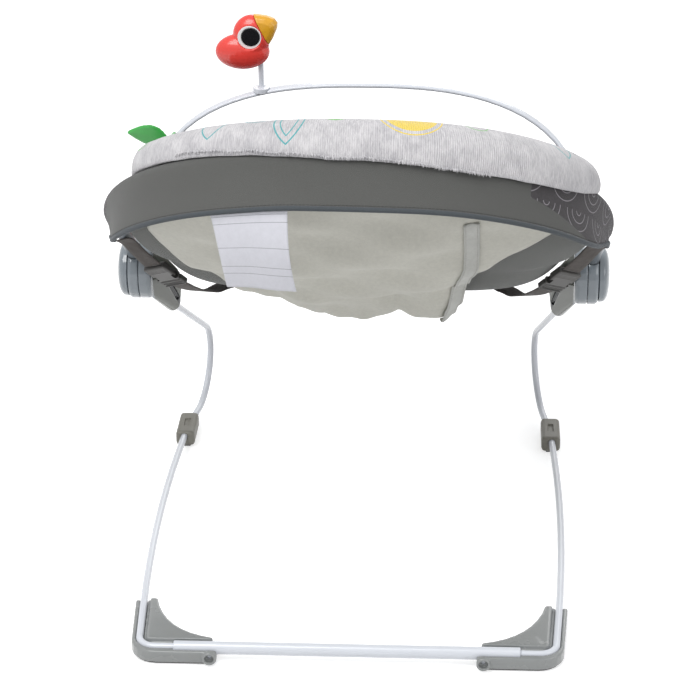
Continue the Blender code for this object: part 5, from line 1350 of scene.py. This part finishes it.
SKIRT_FLARE = 0.11  # how far it leans out at the left
FLARE_TO_X = -0.115
FLARE_DRIFT = 0.05
FLARE_FADE = 0.05
FLARE_FROM_X = -0.235
FLARE_RUN = 0.04
SKIRT_BELLY = -0.0016
WAVE_HEIGHT = 0.0009
WAVE_PITCH = 0.027
WAVE_UNEVEN = 1.7
WAVE_DRIFT = 0.083
WAVE_FADE = 0.06
PIPING_RADIUS = 0.0024
PIPING_SIDES = 12
WRAP_FROM = 0.300
WRAP_LENGTH = 0.065
WRAP_LEFT_FROM = 0.250
WRAP_RIGHT_DEPTHS = (0.0200, 0.0440)  # how far below the tube the charcoal reaches at its start and its end
WRAP_LEFT_DEPTHS = (-0.0080, 0.0040)
STITCH = (0.0034, 0.0026, 0.0006)  # pitch, length and thickness
FLOAT_GAP = 0.0001  # what thread keeps from the cloth
KNIT_PITCH = 0.0009


def skirt_depth(q):
    """How deep the skirt hangs below the tube at q."""
    if q >= 0:
        return between(SKIRT_START, SKIRT_HEAD, eased((q - HEAD_BORDER_START) / SKIRT_HEAD_RUN))
    return between(SKIRT_START, SKIRT_FOOT, eased((-q - FOOT_BORDER_START) / SKIRT_FOOT_RUN))


def grid_mesh(name, rows, places):
    """A sheet through rows of points, with each point's place on the cloth."""
    count = len(rows[0])
    points = [tuple(p) for row in rows for p in row]
    faces = [(i * count + k, i * count + k + 1, (i + 1) * count + k + 1, (i + 1) * count + k)
             for i in range(len(rows) - 1) for k in range(count - 1)]
    mesh = bpy.data.meshes.new(name)
    mesh.from_pydata(points, [], faces)
    attribute = mesh.attributes.new("cloth_place", "FLOAT_VECTOR", "POINT")
    attribute.data.foreach_set("vector", np.asarray(places, np.float32).ravel())
    return mesh


def thickened(name, mesh, thick, material):
    """Gives a sheet its cloth thickness, centred on the sheet."""
    piece = shown(name, mesh)
    wall = piece.modifiers.new("cloth", "SOLIDIFY")
    wall.thickness = thick
    wall.offset = 0.0
    settled(piece)
    faced_out(piece.data)
    painted(piece.data, material)
    piece.data.shade_smooth()
    return piece


def knit(name, colour, wrapped=False):
    """Fine stretch knit. When wrapped, charcoal fabric covers it where the third mark is above 0."""
    made, tree, shader = blank_finish(name)
    place = add(tree, "ShaderNodeAttribute", attribute_name="cloth_place").outputs["Vector"]
    ground = flecked(tree, place, 900.0, shaded(colour, 0.88), shaded(colour, 1.12))
    worn = add(tree, "ShaderNodeTexNoise", {"Vector": place, "Scale": 14.0, "Detail": 3.0}).outputs[0]
    tone = mixed(tree, reckon(tree, "MULTIPLY", worn, 0.35), ground, shaded(colour, 1.25))
    if wrapped:
        lap = reckon(tree, "GREATER_THAN", add(tree, "ShaderNodeSeparateXYZ", {0: place}).outputs[2], 0.0)
        tone = mixed(tree, lap, tone, charcoal_tone(tree, place))
    tree.links.new(tone, shader.inputs["Base Color"])
    cloth_sheen(shader, roughness=0.88, weight=0.2, sheen_roughness=0.4)
    tree.links.new(cloth_bump(tree, place, KNIT_PITCH, 0.45, 0.00025).outputs[0], shader.inputs["Normal"])
    return made


def wrap_edge(place):
    """How far along the border's section the charcoal fabric covers it; below 0 it doesn't."""
    start, depths = (WRAP_FROM, WRAP_RIGHT_DEPTHS) if place.x > 0 else (WRAP_LEFT_FROM, WRAP_LEFT_DEPTHS)
    if place.x == 0 or place.y >= start:
        return -1.0
    return FLAP_WIDTH + SLEEVE_RUN + between(*depths, (start - place.y) / WRAP_LENGTH)


def skirt_lean(place, t):
    """How far in the head skirt leans at share t of its depth. It flares out at the left."""
    tucked = SKIRT_TUCK + SIDE_TUCK * eased((SIDE_TUCK_FROM - place.y) / SIDE_TUCK_RUN)
    left = 1 - eased((place.x - FLARE_TO_X - FLARE_DRIFT * t) / FLARE_FADE)
    return tucked - SKIRT_FLARE * left * eased((place.x - FLARE_FROM_X) / FLARE_RUN)


def border_section(place, mark, from_end, at_head):
    """The border's (outward, up) at one station: along the flap, over the tube and down to the hem."""
    depth = skirt_depth(place.y)
    section = [(-FLAP_WIDTH * (1 - i / FLAP_STEPS), SLEEVE_RADIUS) for i in range(FLAP_STEPS + 1)]
    for degrees in range(12, 91, 13):
        turn = math.radians(degrees)
        section.append((SLEEVE_RADIUS * math.sin(turn), SLEEVE_RADIUS * math.cos(turn)))
    drift = WAVE_UNEVEN * math.sin(mark / WAVE_DRIFT)
    wave = WAVE_HEIGHT * math.sin(mark / WAVE_PITCH + drift) * eased(from_end / WAVE_FADE)
    for i in range(1, SKIRT_STEPS + 1):
        t = i / SKIRT_STEPS
        lean = skirt_lean(place, t) if at_head else SKIRT_TUCK
        belly = SKIRT_BELLY * math.sin(math.pi * t)
        section.append((SLEEVE_RADIUS - lean * depth * t + wave * t * t + belly, -depth * t))
    return section


def border_rows(sign, start):
    """The border's rows of points from end to end, their places on the cloth, and the way out at each."""
    rows, places, outwards = [], [], []
    ordered = [s for s in stations if sign * s[0].y >= start]
    ordered.sort(key=lambda s: -math.atan2(s[0].x, sign * (s[0].y - WIDEST_AT)))
    half_loop = HALF_STEPS * station_step
    marks = [mark if sign > 0 else mark - math.copysign(half_loop, mark) for _, _, mark in ordered]
    for (place, out, mark), from_middle in zip(ordered, marks):
        up, outward = upward(place.y), Vector((out.x, 0, 0)) + headward(place.y) * out.y
        middle = on_frame(place.x, place.y)
        section = border_section(place, mark, abs(marks[0]) - abs(from_middle), sign > 0)
        lap = wrap_edge(place) if sign > 0 else -1.0
        row, run, last = [], 0.0, section[0]
        for point in section:
            run += math.hypot(point[0] - last[0], point[1] - last[1])
            last = point
            row.append(middle + outward * point[0] + up * point[1])
            places.append((mark, run, lap - run))
        rows.append(row)
        outwards.append(outward)
    return rows, places, outwards


def stitch_tree():
    """Geometry tree: short thread stitches along a seam."""
    tree = bpy.data.node_groups.new("stitches", "GeometryNodeTree")
    given, result = sockets_of(tree, Pitch="NodeSocketFloat", Long="NodeSocketFloat", Thick="NodeSocketFloat",
                               Finish="NodeSocketMaterial")
    line = add(tree, "GeometryNodeMeshToCurve", {"Mesh": given.outputs["Geometry"]})
    points = add(tree, "GeometryNodeCurveToPoints",
                 {"Curve": line.outputs[0], "Length": given.outputs["Pitch"]}, mode="LENGTH")
    grain = add(tree, "GeometryNodeMeshUVSphere", {"Segments": 6, "Rings": 5, "Radius": 0.5})
    thick = given.outputs["Thick"]
    size = add(tree, "ShaderNodeCombineXYZ", {0: thick, 1: thick, 2: given.outputs["Long"]})
    thread = add(tree, "GeometryNodeTransform", {"Geometry": grain.outputs["Mesh"], "Scale": size.outputs[0]})
    set_out = add(tree, "GeometryNodeInstanceOnPoints",
                  {"Points": points.outputs["Points"], "Instance": thread.outputs[0],
                   "Rotation": points.outputs["Rotation"]})
    whole = add(tree, "GeometryNodeRealizeInstances", {"Geometry": set_out.outputs[0]})
    smooth = add(tree, "GeometryNodeSetShadeSmooth", {"Geometry": whole.outputs[0]})
    dressed = add(tree, "GeometryNodeSetMaterial",
                  {"Geometry": smooth.outputs[0], "Material": given.outputs["Finish"]})
    tree.links.new(dressed.outputs[0], result.inputs["Geometry"])
    return tree


stitches = stitch_tree()
grey_thread = coated("grey_thread", THREAD_COLOUR, roughness=0.6)
border_knit = knit("grey_stretch_knit", BORDER_COLOUR)
wrapped_knit = knit("grey_and_charcoal_knit", BORDER_COLOUR, True)
piping_knit = knit("blue_grey_piping", PIPING_COLOUR)


def stitched(name, line, slot, thread, sizes):
    """A row of stitches of a pitch, length and thickness along a line on the seat."""
    pitch, long, thick = sizes
    piece = grown(name, stitches, path_mesh(line), Pitch=pitch, Long=long, Thick=thick, Finish=thread)
    return fitted(piece, "seat", slot)


for border_name, sign, start, cloth, tube_name in (
    ("head_border", 1, HEAD_BORDER_START, wrapped_knit, "seat_back_frame_tube"),
    ("foot_border", -1, FOOT_BORDER_START, border_knit, "seat_foot_frame_tube"),
):
    rows, places, outwards = border_rows(sign, start)
    border_mesh = grid_mesh(border_name, rows, places)
    band = thickened("grey_" + border_name, border_mesh, FABRIC_THICK, cloth)
    fitted(band, "seat", "border_stretch_fabric", border_name)
    hem_line = path_mesh([row[-1] for row in rows])
    piping = grown(border_name + "_hem_piping", round_bar, hem_line, Radius=PIPING_RADIUS, Sides=PIPING_SIDES,
                   Finish=piping_knit)
    mark_places(piping, coordinates(piping))
    fitted(piping, "seat", "border_stretch_fabric")
    on_cloth = FABRIC_THICK / 2 + FLOAT_GAP
    stitch_line = [row[-2] + outward * on_cloth for row, outward in zip(rows, outwards)]
    hem_stitches = stitched(border_name + "_hem_stitches", stitch_line, "border_stretch_fabric", grey_thread,
                            STITCH)


# Back lining
# A thin cream non-woven that closes the sling below. It is cut loose, so it billows in soft
# folds under the padding, hangs in two lobes at the bottom, and a tape covers its one long seam.

LINING_COLOUR = (0.55, 0.54, 0.48)
TAPE_COLOUR = (0.49, 0.49, 0.46)
TAPE_THREAD_COLOUR = (0.34, 0.33, 0.30)
LINING_THICK = 0.0009
LINING_DROP = 0.021
LINING_RIM = 0.88
LINING_GAP = 0.0010
LINING_REACH = 0.955  # of the way to the sling's edge, where the cloth reaches furthest
LINING_Q = (-0.062, 0.326)
LINING_ROWS = 96
LINING_COLUMNS = 100
LINING_LEFT = ((-0.06, 0.070), (0.0, 0.092), (0.03, 0.108), (0.05, 0.130), (0.08, 0.155), (0.12, 0.178),
               (0.165, 0.196), (0.20, 0.198), (0.34, 0.198))  # q and the half width there
LINING_RIGHT = ((-0.06, 0.060), (-0.02, 0.082), (0.02, 0.092), (0.05, 0.099), (0.11, 0.109), (0.127, 0.119),
                (0.14, 0.130), (0.155, 0.152), (0.18, 0.185), (0.20, 0.198), (0.34, 0.198))
LOBES = (  # x and the share of the drop there
    (-0.11, 0.25), (-0.08, 0.45), (-0.062, 0.90), (-0.04, 0.98), (0.0, 0.95), (0.02, 0.85),
    (0.035, 0.62), (0.05, 0.92), (0.068, 1.25), (0.085, 1.45), (0.10, 1.0), (0.12, 0.4),
)
LOBE_END = 0.9
LOBE_FROM_Q = 0.03
LOBE_RUN = 0.09
SLACK = 0.0042
SLACK_RIM = 0.86
SLACK_RUN = 0.35
SWAG = (0.0034, 0.082, 0.19)  # a fold's height, its pitch along the seat and its pitch across
SWAG_START = 0.15
SMALL_SWAG = (0.0012, 0.041, 0.13)
CREASE = (0.0008, 0.075, 0.028)
CREASE_TO_Q = 0.10
CREASE_FADE = 0.08
TAPE_LINE = ((0.1080, 0.225), (0.1082, 0.200), (0.1086, 0.169), (0.1080, 0.148), (0.1040, 0.131),
             (0.1004, 0.108), (0.0965, 0.080), (0.0925, 0.050), (0.0880, 0.034), (0.0845, 0.018))
TAPE_WIDTH = 0.0145
TAPE_THICK = 0.0011
TAPE_GAP = 0.0014
TAPE_STEPS = 60
TAPE_STEP = 0.0035  # a step's length on the cloth
TAPE_COLUMNS = 8
TAPE_HANG = 0.0030  # how far its free end hangs
TAPE_FREE_FROM = 44
TAPE_CURL = 0.0009
TAPE_WAVE = 0.0004
TAPE_STITCH = (0.0030, 0.0022, 0.0005)
TAPE_STITCH_GAP = 0.0008


def non_woven(name, colour):
    """Thin bonded cloth with a faint fibre and soft creases."""
    made, tree, shader = blank_finish(name)
    place = add(tree, "ShaderNodeTexCoord").outputs["Object"]
    tone = flecked(tree, place, 240.0, shaded(colour, 0.94), shaded(colour, 1.05))
    tree.links.new(tone, shader.inputs["Base Color"])
    cloth_sheen(shader, roughness=0.72, weight=0.15)
    fibre = add(tree, "ShaderNodeTexNoise", {"Vector": place, "Scale": 900.0, "Detail": 4.0}).outputs[0]
    crease = add(tree, "ShaderNodeTexNoise",
                 {"Vector": place, "Scale": 22.0, "Detail": 4.0, "Distortion": 1.2}).outputs[0]
    height = reckon(tree, "ADD", reckon(tree, "MULTIPLY", fibre, 0.25), reckon(tree, "MULTIPLY", crease, 2.0))
    bump = add(tree, "ShaderNodeBump", {"Height": height, "Strength": 0.22, "Distance": 0.0012})
    tree.links.new(bump.outputs[0], shader.inputs["Normal"])
    return made


def along_table(table, x):
    """The table's second value where its first is x."""
    firsts, seconds = zip(*table)
    return float(np.interp(x, firsts, seconds))


def fold(shape, phase):
    """A fold's height at a phase counted in whole waves."""
    return shape[0] * math.sin(math.tau * phase)


def lining_rise(x, q):
    """Height of the lining over the frame: below the pad, and lower where it billows."""
    share = sling_share(x, q)
    loose = eased((LINING_RIM - share) / (LINING_RIM * 0.7)) ** 2
    lobe = between(along_table(LOBES, x), LOBE_END, eased((q - LOBE_FROM_Q) / LOBE_RUN))
    slack = min(max((SLACK_RIM - share) / SLACK_RUN, 0.0), 1.0)
    swag = fold(SWAG, q / SWAG[1] - x / SWAG[2] + SWAG_START)
    swag += fold(SMALL_SWAG, q / SMALL_SWAG[1] + x / SMALL_SWAG[2])
    crease = fold(CREASE, x / CREASE[2] + q / CREASE[1]) * eased((CREASE_TO_Q - q) / CREASE_FADE)
    drop = LINING_DROP * loose * lobe + slack * (SLACK + swag + crease)
    return pad_low(q, share) - LINING_GAP - max(drop, 0.0)


def lining_rows():
    """The lining's rows of points from side to side, and their places on the cloth."""
    rows, places = [], []
    for i in range(LINING_ROWS + 1):
        q = between(*LINING_Q, i / LINING_ROWS)
        limit = LINING_REACH * (half_width(q) - EDGE_FROM_TUBE)
        left, right = min(along_table(LINING_LEFT, q), limit), min(along_table(LINING_RIGHT, q), limit)
        row = []
        for j in range(LINING_COLUMNS + 1):
            x = between(-left, right, j / LINING_COLUMNS)
            row.append(sling_point(x, q, lining_rise(x, q)))
            places.append((x, q, 0.0))
        rows.append(row)
    return rows, places


def tape_rows():
    """The seam tape's rows of points along its line, and their places on the cloth."""
    route = evenly([Vector(p) for p in TAPE_LINE], TAPE_STEPS)
    rows, places = [], []
    half = TAPE_COLUMNS / 2
    for i, at in enumerate(route):
        along = (route[min(i + 1, TAPE_STEPS)] - route[max(i - 1, 0)]).normalized()
        side = Vector((along.y, -along.x))
        hang = TAPE_HANG * eased((i - TAPE_FREE_FROM) / (TAPE_STEPS - TAPE_FREE_FROM))
        row = []
        for k in range(TAPE_COLUMNS + 1):
            spot = at + side * (TAPE_WIDTH * (k / TAPE_COLUMNS - 0.5))
            curl = TAPE_CURL * (abs(k - half) / half) ** 2 + TAPE_WAVE * math.sin(i * 0.9 + k)
            rise = lining_rise(spot.x, spot.y) - TAPE_GAP - curl - hang
            row.append(sling_point(spot.x, spot.y, rise))
            places.append((k * TAPE_WIDTH / TAPE_COLUMNS, i * TAPE_STEP, 0.0))
        rows.append(row)
    edges = [[row[k] - sling_frame(at.y)[1] * TAPE_STITCH_GAP for at, row in zip(route, rows)]
             for k in (1, TAPE_COLUMNS - 1)]
    return rows, places, edges


lining_grid, lining_places = lining_rows()
lining_mesh = grid_mesh("back_lining", lining_grid, lining_places)
lining_cloth = non_woven("cream_non_woven", LINING_COLOUR)
back_lining = thickened("cream_back_lining", lining_mesh, LINING_THICK, lining_cloth)
fitted(back_lining, "seat", "cream_lining", "back_lining")
tape_grid, tape_places, tape_edges = tape_rows()
tape_mesh = grid_mesh("seam_tape", tape_grid, tape_places)
seam_tape = thickened("lining_seam_tape", tape_mesh, TAPE_THICK, non_woven("grey_seam_tape", TAPE_COLOUR))
fitted(seam_tape, "seat", "cream_lining")
tape_thread = coated("tape_thread", TAPE_THREAD_COLOUR, roughness=0.6)
tape_stitches = [stitched("tape_stitches_" + word, line, "cream_lining", tape_thread, TAPE_STITCH)
                 for word, line in zip(("left", "right"), tape_edges)]


# Sewn-in tag
# A blank white satin tag caught in the hem at the head end, left of the middle. It is ruled into
# plain panels, hangs a little askew and curls at its free end.

SATIN_COLOUR = (0.66, 0.66, 0.71)
RULE_COLOUR = (0.24, 0.24, 0.27)
TAG_TOP = (-0.1206, -0.0511)  # X at its two edges, at the seam and at the free end
TAG_LOW = (-0.1076, -0.0449)
TAG_LENGTH = 0.0740
TAG_THICK = 0.0005
TAG_FROM_HEM = 0.0012
TAG_ROWS = 40
TAG_COLUMNS = 32
TAG_CURL = 0.0050
TAG_FLICK = 0.0045
TAG_RIPPLE = 0.0012
TAG_BOW = 1.15  # half waves down the tag
RIPPLES = 1.2  # waves across it
RIPPLE_TURN = 2.5
CURL_SHARES = (0.4, 1.0)  # at the tag's two edges, like the next two
LENGTH_SHARES = (0.96, 1.09)
DRIFT_POWERS = (0.8, 2.2)
TAG_RULES = (0.05, 0.14, 0.44, 0.69, 0.79)
RULE_HALF = 0.00028
RULE_COVER = 0.75
SATIN_RIB = 0.0009


def satin():
    """White satin, ribbed across and ruled into panels."""
    made, tree, shader = blank_finish("ruled_white_satin")
    place = add(tree, "ShaderNodeAttribute", attribute_name="cloth_place").outputs["Vector"]
    split = add(tree, "ShaderNodeSeparateXYZ", {0: place})
    ribs = reckon(tree, "SINE", reckon(tree, "MULTIPLY", split.outputs[1], math.tau / SATIN_RIB))
    tone = flecked(tree, place, 160.0, shaded(SATIN_COLOUR, 0.94), SATIN_COLOUR)
    for share in TAG_RULES:
        away = reckon(tree, "ABSOLUTE", reckon(tree, "SUBTRACT", split.outputs[1], share * TAG_LENGTH))
        on_rule = reckon(tree, "LESS_THAN", away, RULE_HALF)
        tone = mixed(tree, reckon(tree, "MULTIPLY", on_rule, RULE_COVER), tone, RULE_COLOUR)
    tree.links.new(tone, shader.inputs["Base Color"])
    cloth_sheen(shader, roughness=0.40, weight=0.2)
    bump = add(tree, "ShaderNodeBump", {"Height": ribs, "Strength": 0.15, "Distance": 0.0002})
    tree.links.new(bump.outputs[0], shader.inputs["Normal"])
    return made


def tag_sheet():
    """The tag's rows of points from the hem down, and their places on the cloth."""
    hem = sorted((row[-1] for row in border_rows(1, HEAD_BORDER_START)[0]), key=lambda point: point.x)
    hem_x = [point.x for point in hem]
    rows, places = [], []
    for i in range(TAG_ROWS + 1):
        t = i / TAG_ROWS
        row = []
        for k in range(TAG_COLUMNS + 1):
            s = k / TAG_COLUMNS
            top_x, low_x = between(*TAG_TOP, s), between(*TAG_LOW, s)
            hem_at = Vector([float(np.interp(top_x, hem_x, [p[axis] for p in hem])) for axis in range(3)])
            curl = TAG_CURL * math.sin(math.pi * t * TAG_BOW) * between(*CURL_SHARES, s) - TAG_FLICK * t ** 3
            curl += TAG_RIPPLE * math.sin(math.tau * s * RIPPLES + RIPPLE_TURN * t) * t
            drop = TAG_LENGTH * t * between(*LENGTH_SHARES, s)
            x = between(top_x, low_x, t ** between(*DRIFT_POWERS, s))
            row.append(Vector((x, hem_at.y + TAG_FROM_HEM - curl, hem_at.z - TAG_FROM_HEM - drop)))
            places.append((s * TAG_LENGTH, t * TAG_LENGTH, 0.0))
        rows.append(row)
    return rows, places


tag_rows, tag_places = tag_sheet()
tag_mesh = grid_mesh("blank_tag", tag_rows, tag_places)
tag = thickened("blank_satin_tag", tag_mesh, TAG_THICK, satin())
fitted(tag, "seat", "white_satin", "blank_tag")


# Straps under the seat
# Dark brown polyester webbing, 20 mm wide, from each back tube to the seam under the seat, with a
# side-release buckle between. The free end is folded over and box-stitched at the buckle.

WEBBING_COLOUR = (0.062, 0.052, 0.046)
BUCKLE_COLOUR = (0.075, 0.072, 0.068)
STRAP_WAY = (0.53, 0.477, -0.70)  # inwards, ahead and down
RIB_RUN = 0.0016
CREASE_FROM = 50  # degrees
CREASE_HOLD = 0.92
DISSOLVE_BELOW = 1.0
BUCKLE_VOXEL = 0.00035
PLUG_LENGTH = 0.0120
GRIP_RIB = (0.0009, 0.0222, 0.0092)  # sizes along, across and through the buckle
GRIP_PLACES = (0.0035, 0.0057, 0.0079, 0.0101)  # behind the socket's middle
SIDE_WINDOW = (0.0072, 0.0052, 0.0200)
SIDE_WINDOW_AHEAD = 0.0066
SIDE_WINDOW_OUT = 0.0122
TOP_WINDOW = (0.0090, 0.0090, 0.0016)
TOP_WINDOW_AHEAD = 0.0060
TOP_WINDOW_UP = 0.0044
PLUG_STEP = (0.0010, 0.0240, 0.0074)
PLUG_STEP_PLACES = (-0.0038, 0.0, 0.0038)
PLUG_SLOT = (0.0017, 0.0190, 0.0200)
PLUG_SLOT_AHEAD = 0.0019


def smoothed_copy(name, node, material):
    """A CAD node's copy with subdivision, its sharp edges kept."""
    piece = copy_of(name, node)
    shape = bmesh.new()
    shape.from_mesh(piece.data)
    flat = math.radians(DISSOLVE_BELOW)
    bmesh.ops.dissolve_limit(shape, angle_limit=flat, verts=shape.verts, edges=shape.edges)
    crease = shape.edges.layers.float.new("crease_edge")
    for edge in shape.edges:
        if len(edge.link_faces) == 2 and edge.calc_face_angle() > math.radians(CREASE_FROM):
            edge[crease] = CREASE_HOLD
    shape.to_mesh(piece.data)
    shape.free()
    finer = piece.modifiers.new("finer", "SUBSURF")
    finer.levels = finer.render_levels = 2
    settled(piece)
    painted(piece.data, material)
    softened(piece.data, 45)
    return piece


def webbing(name, along):
    """Ribbed weave on the object's own coordinates, along the strap's direction."""
    made, tree, shader = blank_finish(name)
    place = add(tree, "ShaderNodeTexCoord").outputs["Object"]
    run = vector_step(tree, "DOT_PRODUCT", place, along)[1]
    ribs = reckon(tree, "SINE", reckon(tree, "MULTIPLY", run, math.tau / RIB_RUN))
    tone = flecked(tree, place, 520.0, shaded(WEBBING_COLOUR, 0.8), shaded(WEBBING_COLOUR, 1.3))
    tree.links.new(tone, shader.inputs["Base Color"])
    cloth_sheen(shader, roughness=0.8, weight=0.2)
    bump = add(tree, "ShaderNodeBump", {"Height": ribs, "Strength": 0.6, "Distance": 0.0003})
    tree.links.new(bump.outputs[0], shader.inputs["Normal"])
    return made


def squared_block(centre, along, up, size):
    """A box set square to a buckle, sized along it, across it and through it."""
    turn = Matrix((along, up.cross(along), up)).transposed().to_4x4()
    return block(Matrix.Translation(centre) @ turn @ Matrix.Diagonal((*size, 1.0)))


def buckle_axes(node, along):
    """A buckle half's middle, its thin direction and how far it reaches along the strap."""
    points = coordinates(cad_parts[node])
    runs = points @ np.array(along)
    flat = points - np.outer(runs, np.array(along))
    thin = Vector(np.linalg.eigh(np.cov((flat - flat.mean(axis=0)).T))[1][:, 1])
    up = thin - along * along.dot(thin)
    middle = Vector(flat.mean(axis=0)) + along * float((runs.min() + runs.max()) / 2)
    return middle, up.normalized(), float(runs.max())


def detailed(name, node, blocks, cuts):
    """A buckle half with grip ribs moulded on and windows cut in."""
    piece = copy_of(name, node)
    shape = bmesh.new()
    shape.from_mesh(piece.data)
    for mesh in blocks:
        shape.from_mesh(mesh)
    shape.to_mesh(piece.data)
    shape.free()
    remesh = piece.modifiers.new("skin", "REMESH")
    remesh.mode = "VOXEL"
    remesh.voxel_size = BUCKLE_VOXEL
    smooth = piece.modifiers.new("soft_edges", "SMOOTH")
    smooth.factor = 0.5
    smooth.iterations = 3
    settled(piece)
    for window in cuts:
        cut_away(piece, window)
    painted(piece.data, buckle_plastic)
    softened(piece.data, 40)
    return piece


def buckle_pair(side_name, along):
    """Both halves of a side-release buckle: ribs for the thumb, side windows, and a bar for the webbing."""
    socket_node, plug_node = side_name + "_buckle_socket", side_name + "_buckle_plug"
    middle, up, end = buckle_axes(socket_node, along)
    across = up.cross(along)
    ribs = [squared_block(middle - along * back, along, up, GRIP_RIB) for back in GRIP_PLACES]
    beside = [middle + along * SIDE_WINDOW_AHEAD + across * (hand * SIDE_WINDOW_OUT) for hand in (-1, 1)]
    windows = [squared_block(centre, along, up, SIDE_WINDOW) for centre in beside]
    top = middle + along * TOP_WINDOW_AHEAD + up * TOP_WINDOW_UP
    windows.append(squared_block(top, along, up, TOP_WINDOW))
    socket = detailed(side_name + "_strap_socket_moulding", socket_node, ribs, windows)
    fitted(socket, "seat", "buckle_plastic", socket_node)
    bar = middle + along * (end - float(middle.dot(along)) + PLUG_LENGTH / 2)
    steps = [squared_block(bar + along * ahead, along, up, PLUG_STEP) for ahead in PLUG_STEP_PLACES]
    slot = squared_block(bar + along * PLUG_SLOT_AHEAD, along, up, PLUG_SLOT)
    plug = detailed(side_name + "_strap_plug_moulding", plug_node, steps, [slot])
    fitted(plug, side_name + "_plug", "buckle_plastic", plug_node)


def paid_out(piece, node, along):
    """Bakes a strap's place into its mesh and hides its CAD node."""
    runs = coordinates(piece) @ np.array(along)
    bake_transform(piece)
    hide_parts(node)


buckle_plastic = coated("dark_buckle_plastic", BUCKLE_COLOUR, roughness=0.36, speck=0.08, coat=0.1)
for side_name, sign in (("left", -1), ("right", 1)):
    inward, ahead_way, down = STRAP_WAY
    along = Vector((-inward * sign, ahead_way, down)).normalized()
    strap_cloth = webbing(side_name + "_brown_webbing", tuple(along))
    strap = smoothed_copy(side_name + "_strap_woven", side_name + "_strap_webbing", strap_cloth)
    fitted(strap, "seat", "brown_webbing", side_name + "_strap_webbing")
    tail = smoothed_copy(side_name + "_strap_tail_woven", side_name + "_strap_tail", strap_cloth)
    paid_out(tail, side_name + "_strap_tail", along)
    buckle_pair(side_name, along)


# Harness
# A padded flap comes up between the legs to a dark buckle, where the two waist belts plug in.

waist_webbing = webbing("waist_webbing", (1.0, 0.0, 0.0))
flap_plush = plush("flap_plush", HEATHER_DARK, HEATHER_LIGHT)
crotch = moulded("padded_crotch_flap", "crotch_flap", voxel=0.0016, rounds=8, material=flap_plush)
mark_places(crotch, coordinates(crotch))
fitted(crotch, "seat", "heather_print_fabric", "crotch_flap")
housing = moulded("harness_buckle_housing", "harness_buckle", voxel=0.0005, rounds=3, material=buckle_plastic)
fitted(housing, "seat", "buckle_plastic", "harness_buckle")
for side_name, sign in (("left", -1), ("right", 1)):
    belt = smoothed_copy(side_name + "_waist_belt_woven", side_name + "_waist_belt", waist_webbing)
    paid_out(belt, side_name + "_waist_belt", Vector((sign, 0, 0)))
    prong = moulded(side_name + "_harness_prong", side_name + "_harness_plug", voxel=0.0004, rounds=3,
                    material=buckle_plastic)
    fitted(prong, side_name + "_prong", "buckle_plastic", side_name + "_harness_plug")


# Toy bar
# A white moulded arch whose coral ends turn on pins in two coral clips on the foot tube. A green
# moulded leaf grips its left leg.

CORAL_COLOUR = (0.86, 0.10, 0.06)
LEAF_COLOUR = (0.06, 0.42, 0.08)

coral_plastic = coated("coral_moulding", CORAL_COLOUR, roughness=0.28, speck=0.04, coat=0.2)
leaf_plastic = coated("leaf_green_moulding", LEAF_COLOUR, roughness=0.32, speck=0.06, coat=0.2)
arch = moulded("white_toy_bar", "toy_bar_arch", voxel=0.0012, rounds=3, material=white_enamel)
fitted(arch, "toy_bar", "white_enamel", "toy_bar_arch")
leaf = moulded("leaf_ornament_moulding", "leaf_ornament", voxel=0.0006, rounds=4, material=leaf_plastic)
fitted(leaf, "toy_bar", "leaf_plastic", "leaf_ornament")
post = moulded("white_bird_post", "bird_post", voxel=0.0004, rounds=3, material=white_enamel)
fitted(post, "toy_bar", "white_enamel", "bird_post")
for side_name in ("left", "right"):
    for node, body, voxel, material, slot in (
        ("_toy_bar_clip", "seat", 0.0006, coral_plastic, "coral_plastic"),
        ("_toy_bar_end", "toy_bar", 0.0005, coral_plastic, "coral_plastic"),
        ("_pivot_pin", "toy_bar", 0.0004, bright_steel, "screw_steel"),
    ):
        piece = moulded(side_name + node + "_moulding", side_name + node, voxel, rounds=3, material=material)
        fitted(piece, body, slot, side_name + node)


# Bird
# A plain red bird with a yellow beak and round eyes, moulded in parts, that spins on its post.

BIRD_COLOUR = (0.78, 0.055, 0.042)
BEAK_COLOUR = (0.72, 0.36, 0.02)
EYE_WHITE = (0.86, 0.86, 0.86)
EYE_BLACK = (0.010, 0.010, 0.012)

for node, voxel, rounds, colour, dull, slot in (
    ("bird_body", 0.0006, 10, BIRD_COLOUR, 0.26, "bird_plastic"),
    ("bird_beak", 0.0005, 5, BEAK_COLOUR, 0.26, "beak_plastic"),
    ("bird_front_eye_rim", 0.00018, 2, EYE_WHITE, 0.25, "eye_white_plastic"),
    ("bird_rear_eye_rim", 0.00018, 2, EYE_WHITE, 0.25, "eye_white_plastic"),
    ("bird_front_pupil", 0.00018, 2, EYE_BLACK, 0.10, "eye_black_plastic"),
    ("bird_rear_pupil", 0.00018, 2, EYE_BLACK, 0.10, "eye_black_plastic"),
):
    toy_plastic = coated(node + "_plastic", colour, roughness=dull, speck=0.03, coat=0.3)
    piece = moulded(node + "_moulding", node, voxel, rounds, toy_plastic)
    fitted(piece, "bird", slot, node)
